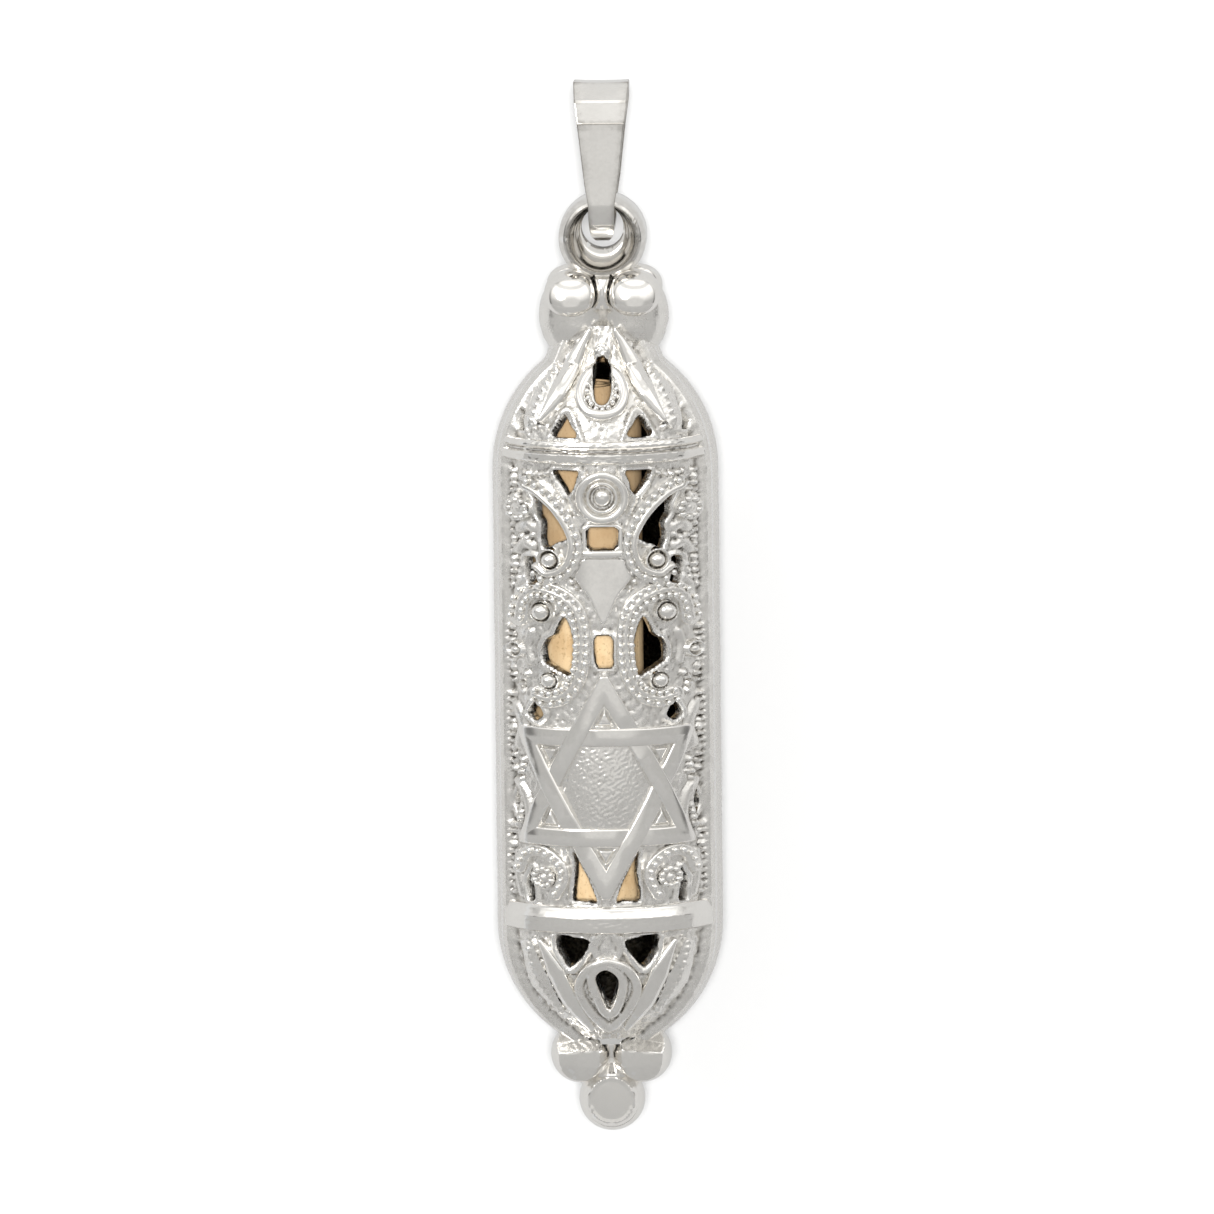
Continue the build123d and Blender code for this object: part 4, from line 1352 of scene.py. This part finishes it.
# ------------------------------------------------------------------ room, light and camera
camera_turn = math.radians(2.0)
camera_rise = math.radians(7.4)
camera_roll = math.radians(0.64)
camera_reach = 1.2
frame_width = 0.0646
to_camera = Vector((math.sin(camera_turn) * math.cos(camera_rise),
                    -math.cos(camera_turn) * math.cos(camera_rise), math.sin(camera_rise)))


def plain_surface(name, seen, mirrored_level, one_sided):
    """Matt pale surface, darker in reflections than to the viewer; from behind it is clear when one-sided."""
    finish = bpy.data.materials.new(name)
    finish.use_nodes = True
    tree = finish.node_tree
    shader = tree.nodes["Principled BSDF"]
    path = tree.nodes.new("ShaderNodeLightPath")
    colour = blended(tree, path.outputs["Is Camera Ray"], (mirrored_level,) * 3, (seen,) * 3)
    tree.links.new(colour, shader.inputs["Base Color"])
    shader.inputs["Roughness"].default_value = 0.9
    if one_sided:
        clear = tree.nodes.new("ShaderNodeBsdfTransparent")
        either = tree.nodes.new("ShaderNodeMixShader")
        behind = tree.nodes.new("ShaderNodeNewGeometry")
        tree.links.new(behind.outputs["Backfacing"], either.inputs[0])
        tree.links.new(shader.outputs[0], either.inputs[1])
        tree.links.new(clear.outputs[0], either.inputs[2])
        tree.links.new(either.outputs[0], tree.nodes["Material Output"].inputs["Surface"])
    return finish


def stage_sheet(name, corners, finish):
    """Four-cornered sheet of the stage, given in millimetres."""
    mesh = bpy.data.meshes.new(name)
    mesh.from_pydata([tuple(value * MM for value in corner) for corner in corners], [], [(0, 1, 2, 3)])
    sheet = bpy.data.objects.new(name, mesh)
    mesh.materials.append(finish)
    bpy.context.scene.collection.objects.link(sheet)


backdrop_y, floor_z, far = 11.0, -90, 400
stage_sheet("backdrop", [(-far, backdrop_y, -far), (far, backdrop_y, -far), (far, backdrop_y, far),
                         (-far, backdrop_y, far)], plain_surface("backdrop white", 0.55, 0.34, True))
stage_sheet("floor", [(-far, -far, floor_z), (far, -far, floor_z), (far, backdrop_y, floor_z),
                      (-far, backdrop_y, floor_z)], plain_surface("floor white", 0.55, 0.41, False))


def studio_world():
    """Room light by direction: grey near the viewer, white round it, a dark ring past the side, a high gap."""
    world = bpy.data.worlds.new("studio")
    bpy.context.scene.world = world
    world.use_nodes = True
    tree = world.node_tree
    background = tree.nodes["Background"]
    coordinates = tree.nodes.new("ShaderNodeTexCoord")

    def toward(direction):
        node = tree.nodes.new("ShaderNodeVectorMath")
        node.operation = "DOT_PRODUCT"
        tree.links.new(coordinates.outputs["Generated"], node.inputs[0])
        node.inputs[1].default_value = direction
        return node.outputs["Value"]

    level_ahead = maths(tree, "MAXIMUM", maths(tree, "MINIMUM", toward(to_camera), 1.0), -1.0)
    ahead = maths(tree, "ARCCOSINE", level_ahead)
    high = toward((0, 0, 1))
    around = spread(tree, high, 0.1, 0.75, 0.5, 1.35)
    near_grey = spread(tree, ahead, math.radians(20), math.radians(36), 0.0, 1.0)
    level = maths(tree, "ADD", maths(tree, "MULTIPLY", maths(tree, "SUBTRACT", around, 0.7), near_grey), 0.7)
    into_ring = spread(tree, ahead, math.radians(76), math.radians(86), 0.0, 1.0)
    out_of_ring = spread(tree, ahead, math.radians(89), math.radians(99), 1.0, 0.0)
    ring = maths(tree, "MULTIPLY", into_ring, out_of_ring)
    ring = maths(tree, "MULTIPLY", ring, spread(tree, high, -0.5, 0.3, 0.85, 0.5))
    level = maths(tree, "MULTIPLY", level, maths(tree, "SUBTRACT", 1.0, ring))
    into_gap = spread(tree, high, 0.8, 0.84, 0.0, 1.0)
    out_of_gap = spread(tree, high, 0.9, 0.94, 0.35, 0.0)
    level = maths(tree, "MULTIPLY", level,
                  maths(tree, "SUBTRACT", 1.0, maths(tree, "MULTIPLY", into_gap, out_of_gap)))
    tree.links.new(level, background.inputs["Strength"])
    background.inputs["Color"].default_value = (1.0, 0.995, 0.98, 1)


studio_world()


case_middle = Vector((0, 0, -0.027))


def sun(name, energy, place, angle):
    """Sun at a place, shining at the middle of the case."""
    data = bpy.data.lights.new(name, "SUN")
    data.energy = energy
    data.angle = angle
    holder = bpy.data.objects.new(name, data)
    bpy.context.scene.collection.objects.link(holder)
    holder.rotation_euler = (case_middle - Vector(place)).to_track_quat("-Z", "Y").to_euler()
    holder.location = place
    return holder


sun("key", 0.7, (-0.25, -0.35, 0.3), math.radians(30))
fill = sun("fill", 3.9, tuple(case_middle + to_camera), math.radians(5))
fill.visible_glossy = False


def set_camera():
    """Long camera aimed at the middle of the object's height, rolled a little."""
    data = bpy.data.cameras.new("camera")
    data.sensor_width = 36
    data.lens = 36 * camera_reach / frame_width
    data.clip_start = 0.01
    camera = bpy.data.objects.new("camera", data)
    bpy.context.scene.collection.objects.link(camera)
    right = Vector((math.cos(camera_turn), math.sin(camera_turn), 0))
    over = to_camera.cross(right)
    tilted_right = right * math.cos(camera_roll) - over * math.sin(camera_roll)
    tilted_up = right * math.sin(camera_roll) + over * math.cos(camera_roll)
    aim = Vector((0, 0, (cad_bounds[0][2] + cad_bounds[1][2]) / 2))
    camera.matrix_world = Matrix((
        (tilted_right.x, tilted_up.x, to_camera.x, aim.x + to_camera.x * camera_reach),
        (tilted_right.y, tilted_up.y, to_camera.y, aim.y + to_camera.y * camera_reach),
        (tilted_right.z, tilted_up.z, to_camera.z, aim.z + to_camera.z * camera_reach),
        (0, 0, 0, 1)))
    bpy.context.scene.camera = camera


set_camera()
bpy.context.scene.view_settings.view_transform = "Standard"
